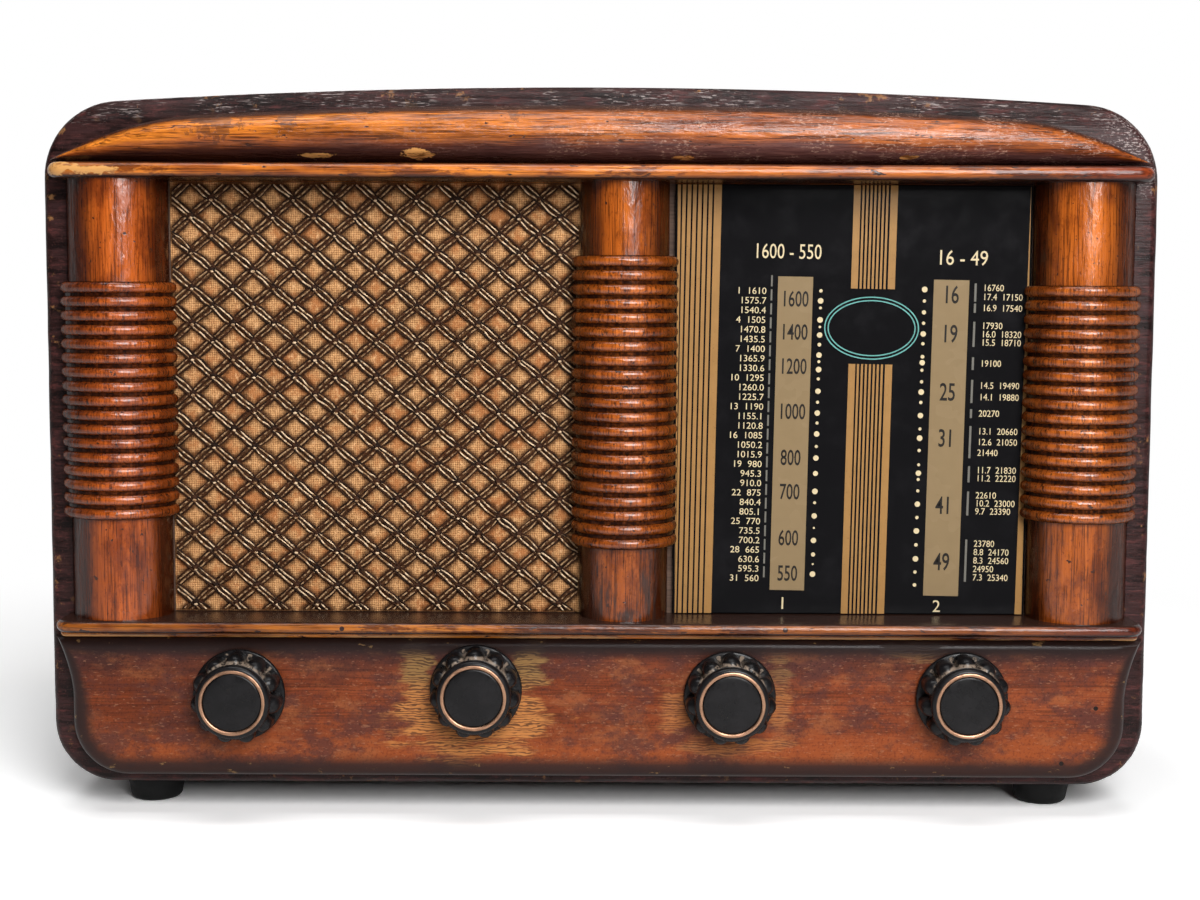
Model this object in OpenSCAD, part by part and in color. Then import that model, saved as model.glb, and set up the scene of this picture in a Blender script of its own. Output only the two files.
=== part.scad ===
// Table radio with valves: wooden cabinet, turned columns, printed glass dial and four knobs.
// The front faces -Y, +X is to the right and +Z is up. Z = 0 is the table under the rubber feet.
// An "off" is a distance in front of the cabinet's rim plane, and is negative inside the cabinet.

/* [Cabinet] */
// Width of the cabinet over its sides
shell_w = 520; // [480:1:600]
// Height of the cabinet from its underside to the crest of its top
shell_h = 329.4; // [320:0.1:380]
// Depth of the cabinet from its front rim to its back edge
shell_d = 240; // [220:1:320]
// Thickness of the cabinet's wooden wall
wall = 12; // [10:0.5:16]
// Radius of the two top corners
top_corner_r = 36; // [25:1:50]
// Radius of the two base corners
base_corner_r = 30; // [20:1:40]
// Radius of the slightly arched top
arch_r = 3600; // [2000:50:8000]
// Width of the rounded front edge of the rim
edge_round = 4; // [1:0.5:6]
// Height of the rubber feet under the cabinet
foot_h = 13; // [9:0.5:20]
// Radius of a rubber foot at its top
foot_r = 14.5; // [10:0.5:18]
// Distance of a foot's centre from the cabinet's side
foot_inset_x = 43; // [35:1:60]
// Distance of a foot's centre from the front rim or back edge
foot_inset_y = 25; // [20:1:50]

/* [Front boards] */
// Distance from the rim plane back to the baffle's face
baffle_recess = 5; // [3:0.5:8]
// Thickness of the baffle
baffle_t = 12; // [9:0.5:15]
// Height of the ledge's top over the table
ledge_top = 95.2; // [90:0.1:105]
// Thickness of the ledge board
ledge_t = 6.7; // [5:0.1:9]
// Distance that the ledge and the upper bar stand out of the rim plane
bar_reach = 27; // [25:0.5:34]
// Distance from the cabinet's side to the ends of the ledge, the fillet and the upper bar
bar_inset = 8; // [4:0.5:10]
// Distance from the crest of the top down to the upper bar's underside
upper_bar_drop = 44.2; // [42:0.1:60]
// Thickness of the upper bar
upper_bar_t = 7.2; // [5:0.1:9]
// Thickness of the fillet strip under the ledge
fillet_t = 2.5; // [1.5:0.1:4]
// Distance that the fillet strip stands out of the rim plane
fillet_reach = 15; // [13:0.5:20]

/* [Crown moulding] */
// Gap between the upper bar and the crown moulding
crown_gap = 1.4; // [0.5:0.1:3]
// Height of the crown moulding at its middle
crown_h = 26.7; // [22:0.1:30]
// Distance that the crown moulding stands out at its middle
crown_reach = 20; // [14:0.5:25]
// Distance from the cabinet's side to the crown moulding's points
crown_inset = 2.5; // [2:0.5:10]
// Radius of the crown moulding's long top edge
crown_r = 3460; // [2000:20:8000]
// Length of the falling stretch at each end
crown_end = 62; // [40:1:90]

/* [Control board] */
// Thickness of the control board
board_t = 12; // [9:0.5:16]
// Height of rim that shows under the control board
board_rise = 6.2; // [3:0.1:9]
// Distance from the cabinet's side to the control board's waist
board_inset = 12; // [8:0.5:20]
// Outward flare of the board's upper ends
board_flare = 7.3; // [2:0.1:8]
// Height of the flare at the board's upper ends
board_flare_h = 29; // [20:1:40]
// Radius of the board's lower corners
board_corner_r = 26; // [18:1:32]
// Rounding of the board's front edge
board_round = 5; // [2:0.5:8]

/* [Columns] */
// Radius of the two side columns
side_col_r = 23; // [20:0.5:26]
// Radius over the rings of the side columns
side_ring_r = 26.8; // [22:0.1:30]
// Number of rings on a side column
side_rings = 17; // [9:1:21]
// Radius of the middle column
mid_col_r = 20.6; // [18:0.1:24]
// Radius over the rings of the middle column
mid_ring_r = 25; // [20:0.1:28]
// Number of rings on the middle column
mid_rings = 21; // [9:1:25]
// Distance of the middle column from the cabinet's middle
mid_col_x = 11.4; // [0:0.1:30]
// Distance from one ring to the next
ring_pitch = 6.5; // [5:0.1:8]
// Radius of the round bead of a ring
ring_bead_r = 2.5; // [1.5:0.1:3]

/* [Dial] */
// Thickness of the dial glass
glass_t = 3; // [2:0.5:4]
// Gap between the dial glass and the middle column
glass_gap = 2.8; // [1:0.1:5]
// Width of the baffle's lap behind the dial glass
glass_lap = 6; // [4:0.5:10]
// Pitch radius of the drum that winds the pointer cord
drum_r = 46.5; // [40:0.5:48]
// Number of knob turns for each turn of the drum
drive_ratio = 12; // [8:1:14]
// Pitch radius of the two cord pulleys
pulley_r = 6; // [4:0.5:8]
// Diameter of the dial cords
cord_d = 0.9; // [0.6:0.1:1.2]
// Radius of the pointer's two rails
rail_r = 1.5; // [1:0.1:2]

/* [Knobs] */
// Places of the volume, tone, tuning and wave knobs from the cabinet's middle
knob_x = [-168.6, -57.7, 61.3, 170.1];
// Height of the control shafts over the table
shaft_z = 58.8; // [52:0.1:62]
// Rise of the tone shaft above the other three
tone_rise = 2.7; // [0:0.1:4]
// Radius of a knob's back flange
knob_r = 21.6; // [18:0.1:24]
// Depth of a knob
knob_h = 20; // [16:0.5:24]
// Gap between a knob and the control board
knob_gap = 0.8; // [0.5:0.1:2]
// Distance that the copper ring stands proud of a knob's front
ring_proud = 0.15; // [0:0.05:0.5]
// Radius of a knob's round front rim
knob_rim_r = 17.3; // [16.5:0.1:18]
// Number of grip lobes on a knob
lobes = 11; // [7:1:13]
// Radius of one grip lobe
lobe_r = 4.4; // [3:0.1:5]
// Outer radius of the copper ring
ring_outer_r = 15.4; // [15:0.1:15.8]
// Inner radius of the copper ring
ring_inner_r = 13.6; // [13:0.1:14]
// Radius of a control shaft
shaft_r = 3; // [2.5:0.1:3.2]

/* [Inside] */
// Radius of the speaker hole in the baffle
speaker_hole_r = 80; // [60:1:84]
// Width of the speaker basket's flange outside the hole
speaker_lap = 10; // [8:0.5:12]
// Depth of the speaker basket
basket_d = 44; // [35:1:60]
// Radius of the speaker magnet
magnet_r = 32; // [25:1:40]
// Depth of the speaker magnet
magnet_d = 36; // [25:1:50]
// Height of the chassis pan
chassis_h = 67; // [60:1:75]
// Thickness of the chassis sheet
sheet_t = 1.5; // [1:0.1:2]
// Distance from the baffle's back to the chassis pan
chassis_gap = 26; // [25:1:32]
// Depth of the chassis pan
chassis_d = 147; // [140:1:170]
// Thickness of the back cover
cover_t = 3; // [2:0.5:4]
// Depth of the rebate that takes the back cover
rebate = 5; // [4:0.5:6]
// Width of that rebate
rebate_w = 6; // [6:0.25:7]
// Number of air slots in one row of the back cover
cover_slots = 13; // [5:2:15]
// Number of rows of air slots
cover_rows = 3; // [1:1:5]
// Width of an air slot
slot_w = 4; // [3:0.5:6]
// Distance from one air slot to the next in a row
slot_pitch = 22; // [12:1:26]
// Height of the board left between two rows of air slots
slot_bridge = 15; // [8:1:25]
// Radius of a screw's shank
screw_r = 1.5; // [1:0.1:1.8]
// Radius of an aerial or earth socket
socket_r = 2.05; // [1.6:0.05:2.5]
// Radius of the mains gland's bore
gland_r = 3.6; // [2.5:0.1:4.5]

/* [Hidden] */
$fn = 48;
eps = 0.01;
overcut = 1;

// Colours of the finishes
dark_wood = [0.14, 0.07, 0.05];
orange_wood = [0.62, 0.28, 0.10];
plywood = [0.62, 0.45, 0.28];
bakelite = [0.05, 0.045, 0.045];
copper = [0.66, 0.40, 0.26];
steel = [0.62, 0.62, 0.60];
brass = [0.74, 0.58, 0.30];
bulb_glass = [0.75, 0.80, 0.82, 0.5];

// Clearances
run_gap = 0.05;
seat_gap = 0.3;

// Heights
floor_z = foot_h + wall;
crest_z = foot_h + shell_h;
upper_bar_z = crest_z - upper_bar_drop;
board_bottom = foot_h + board_rise;
board_top = ledge_top - ledge_t - fillet_t;
crown_z = upper_bar_z + upper_bar_t + crown_gap;
bay_mid_z = (ledge_top + upper_bar_z) / 2;
chassis_top = floor_z + chassis_h;

// Half lengths of the boards and mouldings
bar_half = shell_w / 2 - bar_inset;
crown_half = shell_w / 2 - crown_inset;
board_half = shell_w / 2 - board_inset;

// Distances in front of the rim plane
knob_back = board_t + knob_gap;
knob_front = knob_back + knob_h;
baffle_front = -baffle_recess;
baffle_back = baffle_front - baffle_t;
chassis_front = baffle_back - chassis_gap;
chassis_back = chassis_front - chassis_d;
cover_front = rebate - shell_d;
cover_back = cover_front - cover_t;
// The rim plane's place along Y, with the copper rings and the back edge evenly about Y = 0
front_y = (knob_front + ring_proud - shell_d) / 2;

// Bays between the columns
side_col_x = shell_w / 2 - wall - side_col_r;
cloth_x = [-side_col_x + side_col_r + seat_gap, mid_col_x - mid_col_r - seat_gap];
cloth_t = 1;
glass_x = [mid_col_x + mid_col_r + glass_gap, side_col_x - side_col_r - seat_gap];
glass_z = [ledge_top + seat_gap, upper_bar_z - seat_gap];
open_x = [glass_x[0] + glass_lap, glass_x[1] - glass_lap];
open_z = [glass_z[0] + glass_lap, glass_z[1] - glass_lap];

// Speaker
speaker_x = (cloth_x[0] + cloth_x[1]) / 2;
speaker_rim_r = speaker_hole_r + speaker_lap;
speaker_sheet = 2;
basket_throat_r = magnet_r + 6;

// Dial works
plate_off = baffle_back - 4;
plate_t = 1;
rail_off = baffle_back + 4;
arm_off = baffle_front - 4;
rail_inset = 4;
rail_x = [open_x[0] + rail_inset, open_x[1] - rail_inset];
cord_off = [baffle_back - 15, baffle_back - 20];
pulley_x = rail_x[0] + pulley_r;
pulley_z = [open_z[0] - 9.5, open_z[1] + 6];
pulley_lip = 2;
pulley_t = 3.5;
pin_r = 1.5;
drum_x = rail_x[0] + drum_r + 27.5;
drum_z = chassis_top + drum_r + 11.5;
drum_lip = 1.5;
drum_t = 10;
groove_w = 2;
spindle_r = drum_r / drive_ratio;
pointer_z = open_z[0] + 5.5;
carriage_h = 6;
carriage_w = 8;
lamp_x = [rail_x[0] + 33, rail_x[1] - 33];
lamp_z = open_z[1] - 15;
lamp_seat_h = 4;

// Tuning capacitor
gang_front = chassis_front - 4;
gang_plate_t = 2;
gang_len = 48;
gang_w = 60;
rotor_r = 24;
rotor_plates = 8;
stator_plates = rotor_plates + 1;
blade_t = 0.8;
blade_pitch = 4;
gang_floor = drum_z - rotor_r - 7;

// Valves: places across and in front of the rim plane, and each bulb's radius and height
valve_base_r = 15;
valve_base_h = 24;
valve_socket_r = 16.5;
valve_socket_t = 3;
rectifier_at = [-95, chassis_back + 38];
output_at = [-42, chassis_back + 38];
signal_at = [[18, chassis_back + 32], [78, chassis_back + 28], [178, chassis_back + 70]];
valve_places = concat([rectifier_at, output_at], signal_at);
rectifier_bulb_size = [20, 74];
output_bulb_size = [21, 80];
signal_bulb_size = [16, 66];
can_places = [[22, chassis_back + 85], [128, chassis_back + 28]];
can_w = 34;
can_h = 75;
smoothing_at = [-95, chassis_back + 85];
smoothing_r = 17;
smoothing_h = 50;

// Transformers: across, depth and height, and their places
mains_size = [74, 62, 62];
output_size = [44, 40, 38];
mains_at = [-158, chassis_back + 62];
output_trafo_at = [-42, chassis_front - 30];

// Distance from the cabinet's floor and ceiling to the cover's screws and air slots
side_margin = 55;

// Fixings
screw_head_r = 2.7;
screw_head_t = 1.6;
foot_bore_r = 5;
foot_bore_h = 6;
strip_x = -60;
strip_z = 52;
strip_w = 60;
strip_h = 22;
socket_gap = 19;
socket_boss_r = 4.5;
gland_x = 150;
gland_z = 50;
gland_neck = 2.4;
control_sleeve_r = 4.6;
nut_r = 7;
nut_t = 2.5;

// Places of the four controls as [x, z]
function control_at(i) = [knob_x[i], shaft_z + (i == 1 ? tone_rise : 0)];
VOLUME = 0;
TONE = 1;
TUNING = 2;
WAVE = 3;

// Points on an arc in the plane of the front
function arc(cx, cz, r, from, to, n) =
    [for (i = [0 : n]) let (a = from + (to - from) * i / n) [cx + r * cos(a), cz + r * sin(a)]];

// Outline of the cabinet, drawn in by an inset
function shell_outline(inset) =
    let (
        base_x = shell_w / 2 - base_corner_r,
        base_z = foot_h + base_corner_r,
        top_x = shell_w / 2 - top_corner_r,
        arch_z = crest_z - arch_r,
        top_z = arch_z + sqrt(pow(arch_r - top_corner_r, 2) - pow(top_x, 2)),
        lean = asin(top_x / (arch_r - top_corner_r))
    )
    concat(
        arc(-base_x, base_z, base_corner_r - inset, 180, 270, 12),
        arc(base_x, base_z, base_corner_r - inset, 270, 360, 12),
        arc(top_x, top_z, top_corner_r - inset, 0, 90 - lean, 14),
        arc(0, arch_z, arch_r - inset, 90 - lean + 0.3, 90 + lean - 0.3, 12),
        arc(-top_x, top_z, top_corner_r - inset, 90 + lean, 180, 14)
    );

// Outline of the control board, drawn in by an inset
function board_outline(inset) =
    let (
        half = board_half - inset,
        low = board_bottom + inset,
        high = board_top - inset,
        r = board_corner_r - inset,
        steps = 8,
        flare = [for (i = [0 : steps]) let (u = i / steps)
            [half + board_flare * pow(u, 1.7), high - board_flare_h * (1 - u)]]
    )
    concat(
        arc(-half + r, low + r, r, 180, 270, 10),
        arc(half - r, low + r, r, 270, 360, 10),
        flare,
        [for (i = [steps : -1 : 0]) [-flare[i][0], flare[i][1]]]
    );

// Top edge of the crown moulding above its flat underside, at a place across the front
function crown_rise(x) =
    let (
        into_end = min(1, max(0, (abs(x) - crown_half + crown_end) / crown_end)),
        end_fall = crown_h - pow(crown_half, 2) / (2 * crown_r)
    )
    max(0.4, crown_h - x * x / (2 * crown_r) - end_fall * (1 - sqrt(1 - into_end * into_end)));

// A closed skin over rings of points, each ring with as many points as the next
module skin(rings) {
    n = len(rings[0]);
    last = (len(rings) - 1) * n;
    points = [for (ring = rings) for (p = ring) p];
    sides = [for (k = [0 : len(rings) - 2]) for (i = [0 : n - 1]) let (j = (i + 1) % n)
        [k * n + i, (k + 1) * n + i, (k + 1) * n + j, k * n + j]];
    polyhedron(
        points,
        concat([[for (i = [0 : n - 1]) i]], sides, [[for (i = [n - 1 : -1 : 0]) last + i]])
    );
}

// An outline at an off from the rim plane, as one ring of a skin
function at_off(outline, off) = [for (p = outline) [p[0], front_y - off, p[1]]];

// The two ends of a length about its middle
function span(middle, half) = [middle - half, middle + half];

// Something drawn facing the viewer: its own Z comes forward
module facing(x, z, off) {
    translate([x, front_y - off, z]) rotate([90, 0, 0]) children();
}

// A flat shape in the plane of the front, from one off forward to another
module slab(back, front) {
    facing(0, 0, back) linear_extrude(front - back) children();
}

// A box between two corners given as across, off and height
module block(x, off, z) {
    translate([x[0], front_y - off[1], z[0]]) cube([x[1] - x[0], off[1] - off[0], z[1] - z[0]]);
}

// A rod or a hole that runs from front to back
module rod(x, z, r, back, front) {
    facing(x, z, back) cylinder(r = r, h = front - back);
}

// An upright rod or hole
module post(x, off, r, low, high) {
    translate([x, front_y - off, low]) cylinder(r = r, h = high - low);
}

// Places of the fixings
module at_cover_screws() {
    inset = wall - rebate_w / 2;
    side_x = shell_w / 2 - inset;
    low_z = foot_h + inset;
    high_z = crest_z - inset;
    side_z = [floor_z + side_margin, crest_z - wall - 2 * side_margin];
    places = concat(
        [for (x = span(0, side_x), z = side_z) [x, z]],
        [for (x = span(0, 2 * side_margin)) [x, low_z]],
        [[0, high_z]]
    );
    for (at = places) translate([at[0], front_y - cover_back, at[1]]) rotate([-90, 0, 0]) children();
}

module at_feet() {
    x = shell_w / 2 - foot_inset_x;
    for (sx = [-x, x], off = [-foot_inset_y, foot_inset_y - shell_d])
        translate([sx, front_y - off, 0]) children();
}

module at_chassis_screws() {
    for (x = [-150, 150], off = [chassis_front - 8, chassis_back + 8])
        translate([x, front_y - off, foot_h]) rotate([180, 0, 0]) children();
}

module at_speaker_screws() {
    for (a = [45 : 90 : 315])
        translate([speaker_x, front_y - baffle_back + speaker_sheet, bay_mid_z]) rotate([0, a, 0])
            translate([speaker_rim_r - speaker_lap / 2, 0, 0]) rotate([-90, 0, 0]) children();
}

// A screw whose head sits on Z = 0, with its shank going down
module screw(length) {
    cylinder(r = screw_head_r, h = screw_head_t);
    translate([0, 0, -length]) cylinder(r = screw_r, h = length + eps);
}

module screw_hole(length) {
    translate([0, 0, -length]) cylinder(r = screw_r + run_gap, h = length + overcut);
}

cover_screw_len = cover_t + 9;
foot_screw_len = foot_h - foot_bore_h + 9;
chassis_screw_len = wall + sheet_t + 3;
speaker_screw_len = speaker_sheet + 8;

// Cabinet shell: one bent wooden wall, open at the front and back
module cabinet_shell() {
    rounding = [[edge_round, 0], [edge_round * 0.3, -edge_round * 0.3], [0, -edge_round], [0, -shell_d]];
    color(dark_wood) difference() {
        skin([for (step = rounding) at_off(shell_outline(step[0]), step[1])]);
        slab(-shell_d - overcut, overcut) polygon(shell_outline(wall));
        slab(-shell_d - overcut, cover_front) polygon(shell_outline(wall - rebate_w));
        at_cover_screws() screw_hole(cover_screw_len);
        at_feet() translate([0, 0, foot_bore_h]) rotate([180, 0, 0]) screw_hole(foot_screw_len);
        at_chassis_screws() screw_hole(chassis_screw_len);
    }
}

// Baffle: carries the cloth, the glass and the speaker
module front_baffle() {
    color(plywood) difference() {
        slab(baffle_back, baffle_front) difference() {
            polygon(shell_outline(wall));
            translate([speaker_x, bay_mid_z]) circle(speaker_hole_r, $fn = 96);
            translate([open_x[0], open_z[0]]) square([open_x[1] - open_x[0], open_z[1] - open_z[0]]);
            for (i = [VOLUME : WAVE]) translate(control_at(i)) circle(shaft_r + 3);
        }
        at_speaker_screws() screw_hole(speaker_screw_len);
        for (z = pulley_z) rod(pulley_x, z, pin_r, baffle_back - overcut, baffle_back + 8);
    }
}

// Crown moulding: a convex canopy that falls to a point at both ends
module crown_moulding() {
    stations = 14;
    turns = 10;
    full = crown_rise(0);
    color(orange_wood) skin([for (i = [-stations : stations])
        let (
            x = crown_half * sin(90 * i / stations),
            rise = crown_rise(x),
            reach = crown_reach * sqrt(rise / full)
        )
        [for (k = [0 : turns]) let (a = 180 * k / turns)
            [x, front_y - reach * pow(sin(a), 0.8), crown_z + rise * (1 + cos(a)) / 2]]
    ]);
}

// A bar with a round nose: stands out of the rim plane, with a tongue back to the baffle
module nosed_bar(low, t) {
    nose = t / 2;
    end_r = 9;
    color(orange_wood) intersection() {
        union() {
            block([-bar_half, bar_half], [0, bar_reach - nose], [low, low + t]);
            translate([-bar_half, front_y - bar_reach + nose, low + nose]) rotate([0, 90, 0])
                cylinder(r = nose, h = 2 * bar_half);
            intersection() {
                block([wall - shell_w / 2, shell_w / 2 - wall], [baffle_front, eps], [low, low + t]);
                slab(baffle_front, eps) polygon(shell_outline(wall));
            }
        }
        translate([0, 0, low]) linear_extrude(t) union() {
            translate([-bar_half + end_r, front_y - bar_reach])
                square([2 * (bar_half - end_r), bar_reach + baffle_recess]);
            translate([-bar_half, front_y - bar_reach + end_r])
                square([2 * bar_half, bar_reach - end_r + baffle_recess]);
            for (s = [-1, 1]) translate([s * (bar_half - end_r), front_y - bar_reach + end_r]) circle(end_r);
        }
    }
}

module upper_bar() { nosed_bar(upper_bar_z, upper_bar_t); }
module ledge_board() { nosed_bar(ledge_top - ledge_t, ledge_t); }

// Fillet strip between the ledge and the control board
module ledge_fillet() {
    nose = fillet_t / 2;
    color(orange_wood) {
        block([-bar_half, bar_half], [0, fillet_reach - nose], [board_top, board_top + fillet_t]);
        translate([-bar_half, front_y - fillet_reach + nose, board_top + nose]) rotate([0, 90, 0])
            cylinder(r = nose, h = 2 * bar_half, $fn = 24);
    }
}

// Control board: flared upper ends, round lower corners and a rounded front edge
module control_board() {
    soft = board_round * 0.3;
    steps = [[0, 0], [0, board_t - board_round], [soft, board_t - soft], [board_round, board_t]];
    color(orange_wood) difference() {
        skin([for (i = [len(steps) - 1 : -1 : 0]) at_off(board_outline(steps[i][0]), steps[i][1])]);
        for (i = [VOLUME : WAVE])
            rod(control_at(i)[0], control_at(i)[1], shaft_r + 2, -overcut, board_t + overcut);
    }
}

// A turned half column: a plain shaft with a block of round rings at its middle
module column(x, r, ring_r, rings) {
    low = ledge_top;
    high = upper_bar_z;
    first = bay_mid_z - (rings - 1) * ring_pitch / 2;
    neck = 1.5 * ring_bead_r;
    back_half = r - 0.5;
    color(orange_wood) {
        translate([x, front_y, 0]) rotate([0, 0, 180]) rotate_extrude(angle = 180, $fn = 96) {
            translate([0, low]) square([r, high - low]);
            for (i = [0 : rings - 1]) translate([0, first + i * ring_pitch]) {
                translate([ring_r - ring_bead_r, 0]) circle(ring_bead_r, $fn = 24);
                translate([0, -neck / 2]) square([ring_r - ring_bead_r, neck]);
            }
        }
        block([x - back_half, x + back_half], [baffle_front, r / 4], [low, high]);
    }
}

module left_column() { column(-side_col_x, side_col_r, side_ring_r, side_rings); }
module middle_column() { column(mid_col_x, mid_col_r, mid_ring_r, mid_rings); }
module right_column() { column(side_col_x, side_col_r, side_ring_r, side_rings); }

// Grille cloth, stretched on the baffle's face
module grille_cloth() {
    color([0.62, 0.48, 0.32])
        block(cloth_x, [baffle_front, baffle_front + cloth_t], glass_z);
}

// Back cover: a perforated board that sits in the shell's rebate
module back_cover() {
    window_w = strip_w + 14;
    window_h = strip_h + 12;
    low = strip_z + window_h / 2 + 26;
    row_pitch = (crest_z - wall - side_margin - low + slot_bridge) / cover_rows;
    slot_h = row_pitch - slot_bridge - slot_w;
    color([0.42, 0.30, 0.20]) difference() {
        slab(cover_back, cover_front) difference() {
            polygon(shell_outline(wall - rebate_w + seat_gap));
            first = [-(cover_slots - 1) / 2 * slot_pitch, low + (slot_w + slot_h) / 2];
            for (row = [0 : cover_rows - 1], i = [0 : cover_slots - 1])
                translate([first[0] + i * slot_pitch, first[1] + row * row_pitch]) {
                    square([slot_w, slot_h], center = true);
                    for (s = [-1, 1]) translate([0, s * slot_h / 2]) circle(slot_w / 2, $fn = 16);
                }
            translate([strip_x, strip_z]) square([window_w, window_h], center = true);
            translate([gland_x, gland_z]) circle(gland_r + gland_neck);
        }
        at_cover_screws() screw_hole(cover_screw_len);
    }
}

// All the screws of the cabinet
module cabinet_screws() {
    color(brass) {
        at_cover_screws() screw(cover_screw_len);
        at_feet() translate([0, 0, foot_bore_h]) rotate([180, 0, 0]) screw(foot_screw_len);
        at_chassis_screws() screw(chassis_screw_len);
        at_speaker_screws() screw(speaker_screw_len);
    }
}

// Rubber feet: tapered, with a rounded base
module rubber_feet() {
    soft = 3;
    taper = 2;
    color([0.06, 0.06, 0.06]) at_feet() difference() {
        rotate_extrude() {
            polygon([
                [0, 0], [foot_r - taper - soft, 0], [foot_r - taper - soft * 0.3, soft * 0.3],
                [foot_r - taper, soft], [foot_r, foot_h], [0, foot_h]
            ]);
        }
        translate([0, 0, -overcut]) cylinder(r = foot_bore_r, h = foot_bore_h + overcut);
        cylinder(r = screw_r + run_gap, h = foot_h + overcut);
    }
}

// Mains gland: a rubber ring gripped by the back cover
module mains_gland() {
    lip = 1.5;
    color([0.08, 0.08, 0.08]) facing(gland_x, gland_z, cover_back - lip) difference() {
        union() {
            cylinder(r = gland_r + gland_neck, h = cover_t + 2 * lip);
            for (z = [0, cover_t + lip])
                translate([0, 0, z]) cylinder(r = gland_r + gland_neck + 3, h = lip);
        }
        translate([0, 0, -overcut]) cylinder(r = gland_r, h = cover_t + 2 * lip + 2 * overcut);
    }
}

// Dial glass: seated on the baffle round the dial opening
module dial_glass() {
    color([0.05, 0.05, 0.06]) block(glass_x, [baffle_front, baffle_front + glass_t], glass_z);
}

// Dial backplate: a folded sheet behind the glass that carries rails and lamps
module dial_backplate() {
    left = rail_x[0] + 10;
    right = rail_x[1] - 6;
    lip_x = [rail_x[0] + 20, rail_x[1] - 12];
    color([0.86, 0.84, 0.78]) difference() {
        union() {
            block([left, right], [plate_off, plate_off + plate_t], [open_z[0] + 1, open_z[1] - 1]);
            for (z = [open_z[0] + 1, open_z[1] - 2])
                block([rail_x[0] - 3, rail_x[1] + 3], [plate_off, rail_off + 3], [z, z + 1]);
            block(lip_x, [baffle_back - 1, baffle_back], [open_z[0] - 8, open_z[0] + 2]);
            block(lip_x, [baffle_back - 1, baffle_back], [open_z[1] - 2, open_z[1] + 8]);
        }
        for (x = rail_x) post(x, rail_off, rail_r + run_gap, open_z[0], open_z[1]);
        for (x = lamp_x) rod(x, lamp_z, 3, plate_off - overcut, plate_off + plate_t + overcut);
    }
}

module pointer_rails() {
    color(steel) for (x = rail_x) post(x, rail_off, rail_r, open_z[0] + 1, open_z[1] - 1);
}

// Dial pointer: a thin arm between two sliding shoes, with a carriage back to the cord
module dial_pointer() {
    low = pointer_z - carriage_h / 2;
    high = pointer_z + carriage_h / 2;
    half = carriage_w / 2;
    color([0.75, 0.16, 0.10]) difference() {
        union() {
            block([rail_x[0] - half + 1, rail_x[0] + half], [cord_off[0] - 2, arm_off + 0.6], [low, high]);
            block([rail_x[1] - 3, rail_x[1] + 3], [rail_off - 3, arm_off + 0.6], [low, high]);
            block(rail_x, [arm_off - 0.6, arm_off + 0.6], [pointer_z - 0.6, pointer_z + 0.6]);
        }
        for (x = rail_x) post(x, rail_off, rail_r + run_gap, low - overcut, high + overcut);
        post(rail_x[0], cord_off[0], cord_d / 2 + seat_gap, low - overcut, high + overcut);
    }
}

module lamp_holders() {
    color(brass) for (x = lamp_x) difference() {
        union() {
            rod(x, lamp_z, 5.5, plate_off + plate_t, plate_off + plate_t + lamp_seat_h);
            rod(x, lamp_z, 3 - run_gap, plate_off - 6, plate_off + plate_t + lamp_seat_h);
        }
        rod(x, lamp_z, 3.6, plate_off + plate_t + 1, plate_off + plate_t + lamp_seat_h + overcut);
    }
}

module dial_lamps() {
    seat = plate_off + plate_t + 1;
    color([0.95, 0.9, 0.75]) for (x = lamp_x) {
        rod(x, lamp_z, 3.5, seat, seat + lamp_seat_h);
        facing(x, lamp_z, seat + lamp_seat_h + 2) sphere(r = 4.2);
    }
}

// Dial drum: two cord grooves on one rim, pressed on the capacitor's shaft
module dial_drum() {
    floor_r = drum_r - cord_d / 2 - seat_gap;
    edge_r = drum_r + drum_lip;
    mid = (cord_off[0] + cord_off[1]) / 2;
    color([0.75, 0.72, 0.62]) difference() {
        union() {
            facing(drum_x, drum_z, mid - drum_t / 2) cylinder(r = edge_r, h = drum_t, $fn = 96);
            rod(drum_x, drum_z, 8, gang_front + 1, mid);
        }
        for (off = cord_off) facing(drum_x, drum_z, off) rotate_extrude($fn = 96)
            translate([floor_r, -groove_w / 2]) square([10, groove_w]);
        facing(drum_x, drum_z, mid + 1) cylinder(r = floor_r - 4, h = drum_t);
        for (a = [0 : 90 : 270]) facing(drum_x, drum_z, mid - drum_t)
            rotate([0, 0, a]) translate([26, 0, 0]) cylinder(r = 10, h = 2 * drum_t);
        rod(drum_x, drum_z, shaft_r + run_gap, gang_front - overcut, mid + drum_t);
    }
}

// A taut cord round circles given as [x, z, pitch radius], met anticlockwise
function run_angle(a, b) =
    atan2(b[1] - a[1], b[0] - a[0]) - 90 + asin((a[2] - b[2]) / norm([b[0] - a[0], b[1] - a[1]]));

// Its rings as [x, z, outward angle]: a turn on each circle, with a bend every few degrees
function loop_rings(circles) =
    let (n = len(circles))
    [for (i = [0 : n - 1])
        let (
            here = circles[(i + 1) % n],
            from = run_angle(circles[i], here),
            turn = (run_angle(here, circles[(i + 2) % n]) - from + 720) % 360,
            bends = ceil(turn / (here[2] > 20 ? 8 : 18))
        )
        for (k = [0 : bends]) let (a = from + turn * k / bends)
            [here[0] + here[2] * cos(a), here[1] + here[2] * sin(a), a]
    ];

module cord_loop(circles, off) {
    sides = 8;
    rings = loop_rings(circles);
    n = len(rings);
    points = [for (ring = rings) for (j = [0 : sides - 1])
        let (a = 360 * j / sides, out = cord_d / 2 * cos(a))
        [ring[0] + out * cos(ring[2]), ring[1] + out * sin(ring[2]), cord_d / 2 * sin(a)]];
    faces = [for (k = [0 : n - 1]) for (j = [0 : sides - 1])
        let (m = (k + 1) % n, i = (j + 1) % sides)
        [k * sides + j, m * sides + j, m * sides + i, k * sides + i]];
    color([0.35, 0.30, 0.22]) facing(0, 0, off) polyhedron(points, faces);
}

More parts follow.
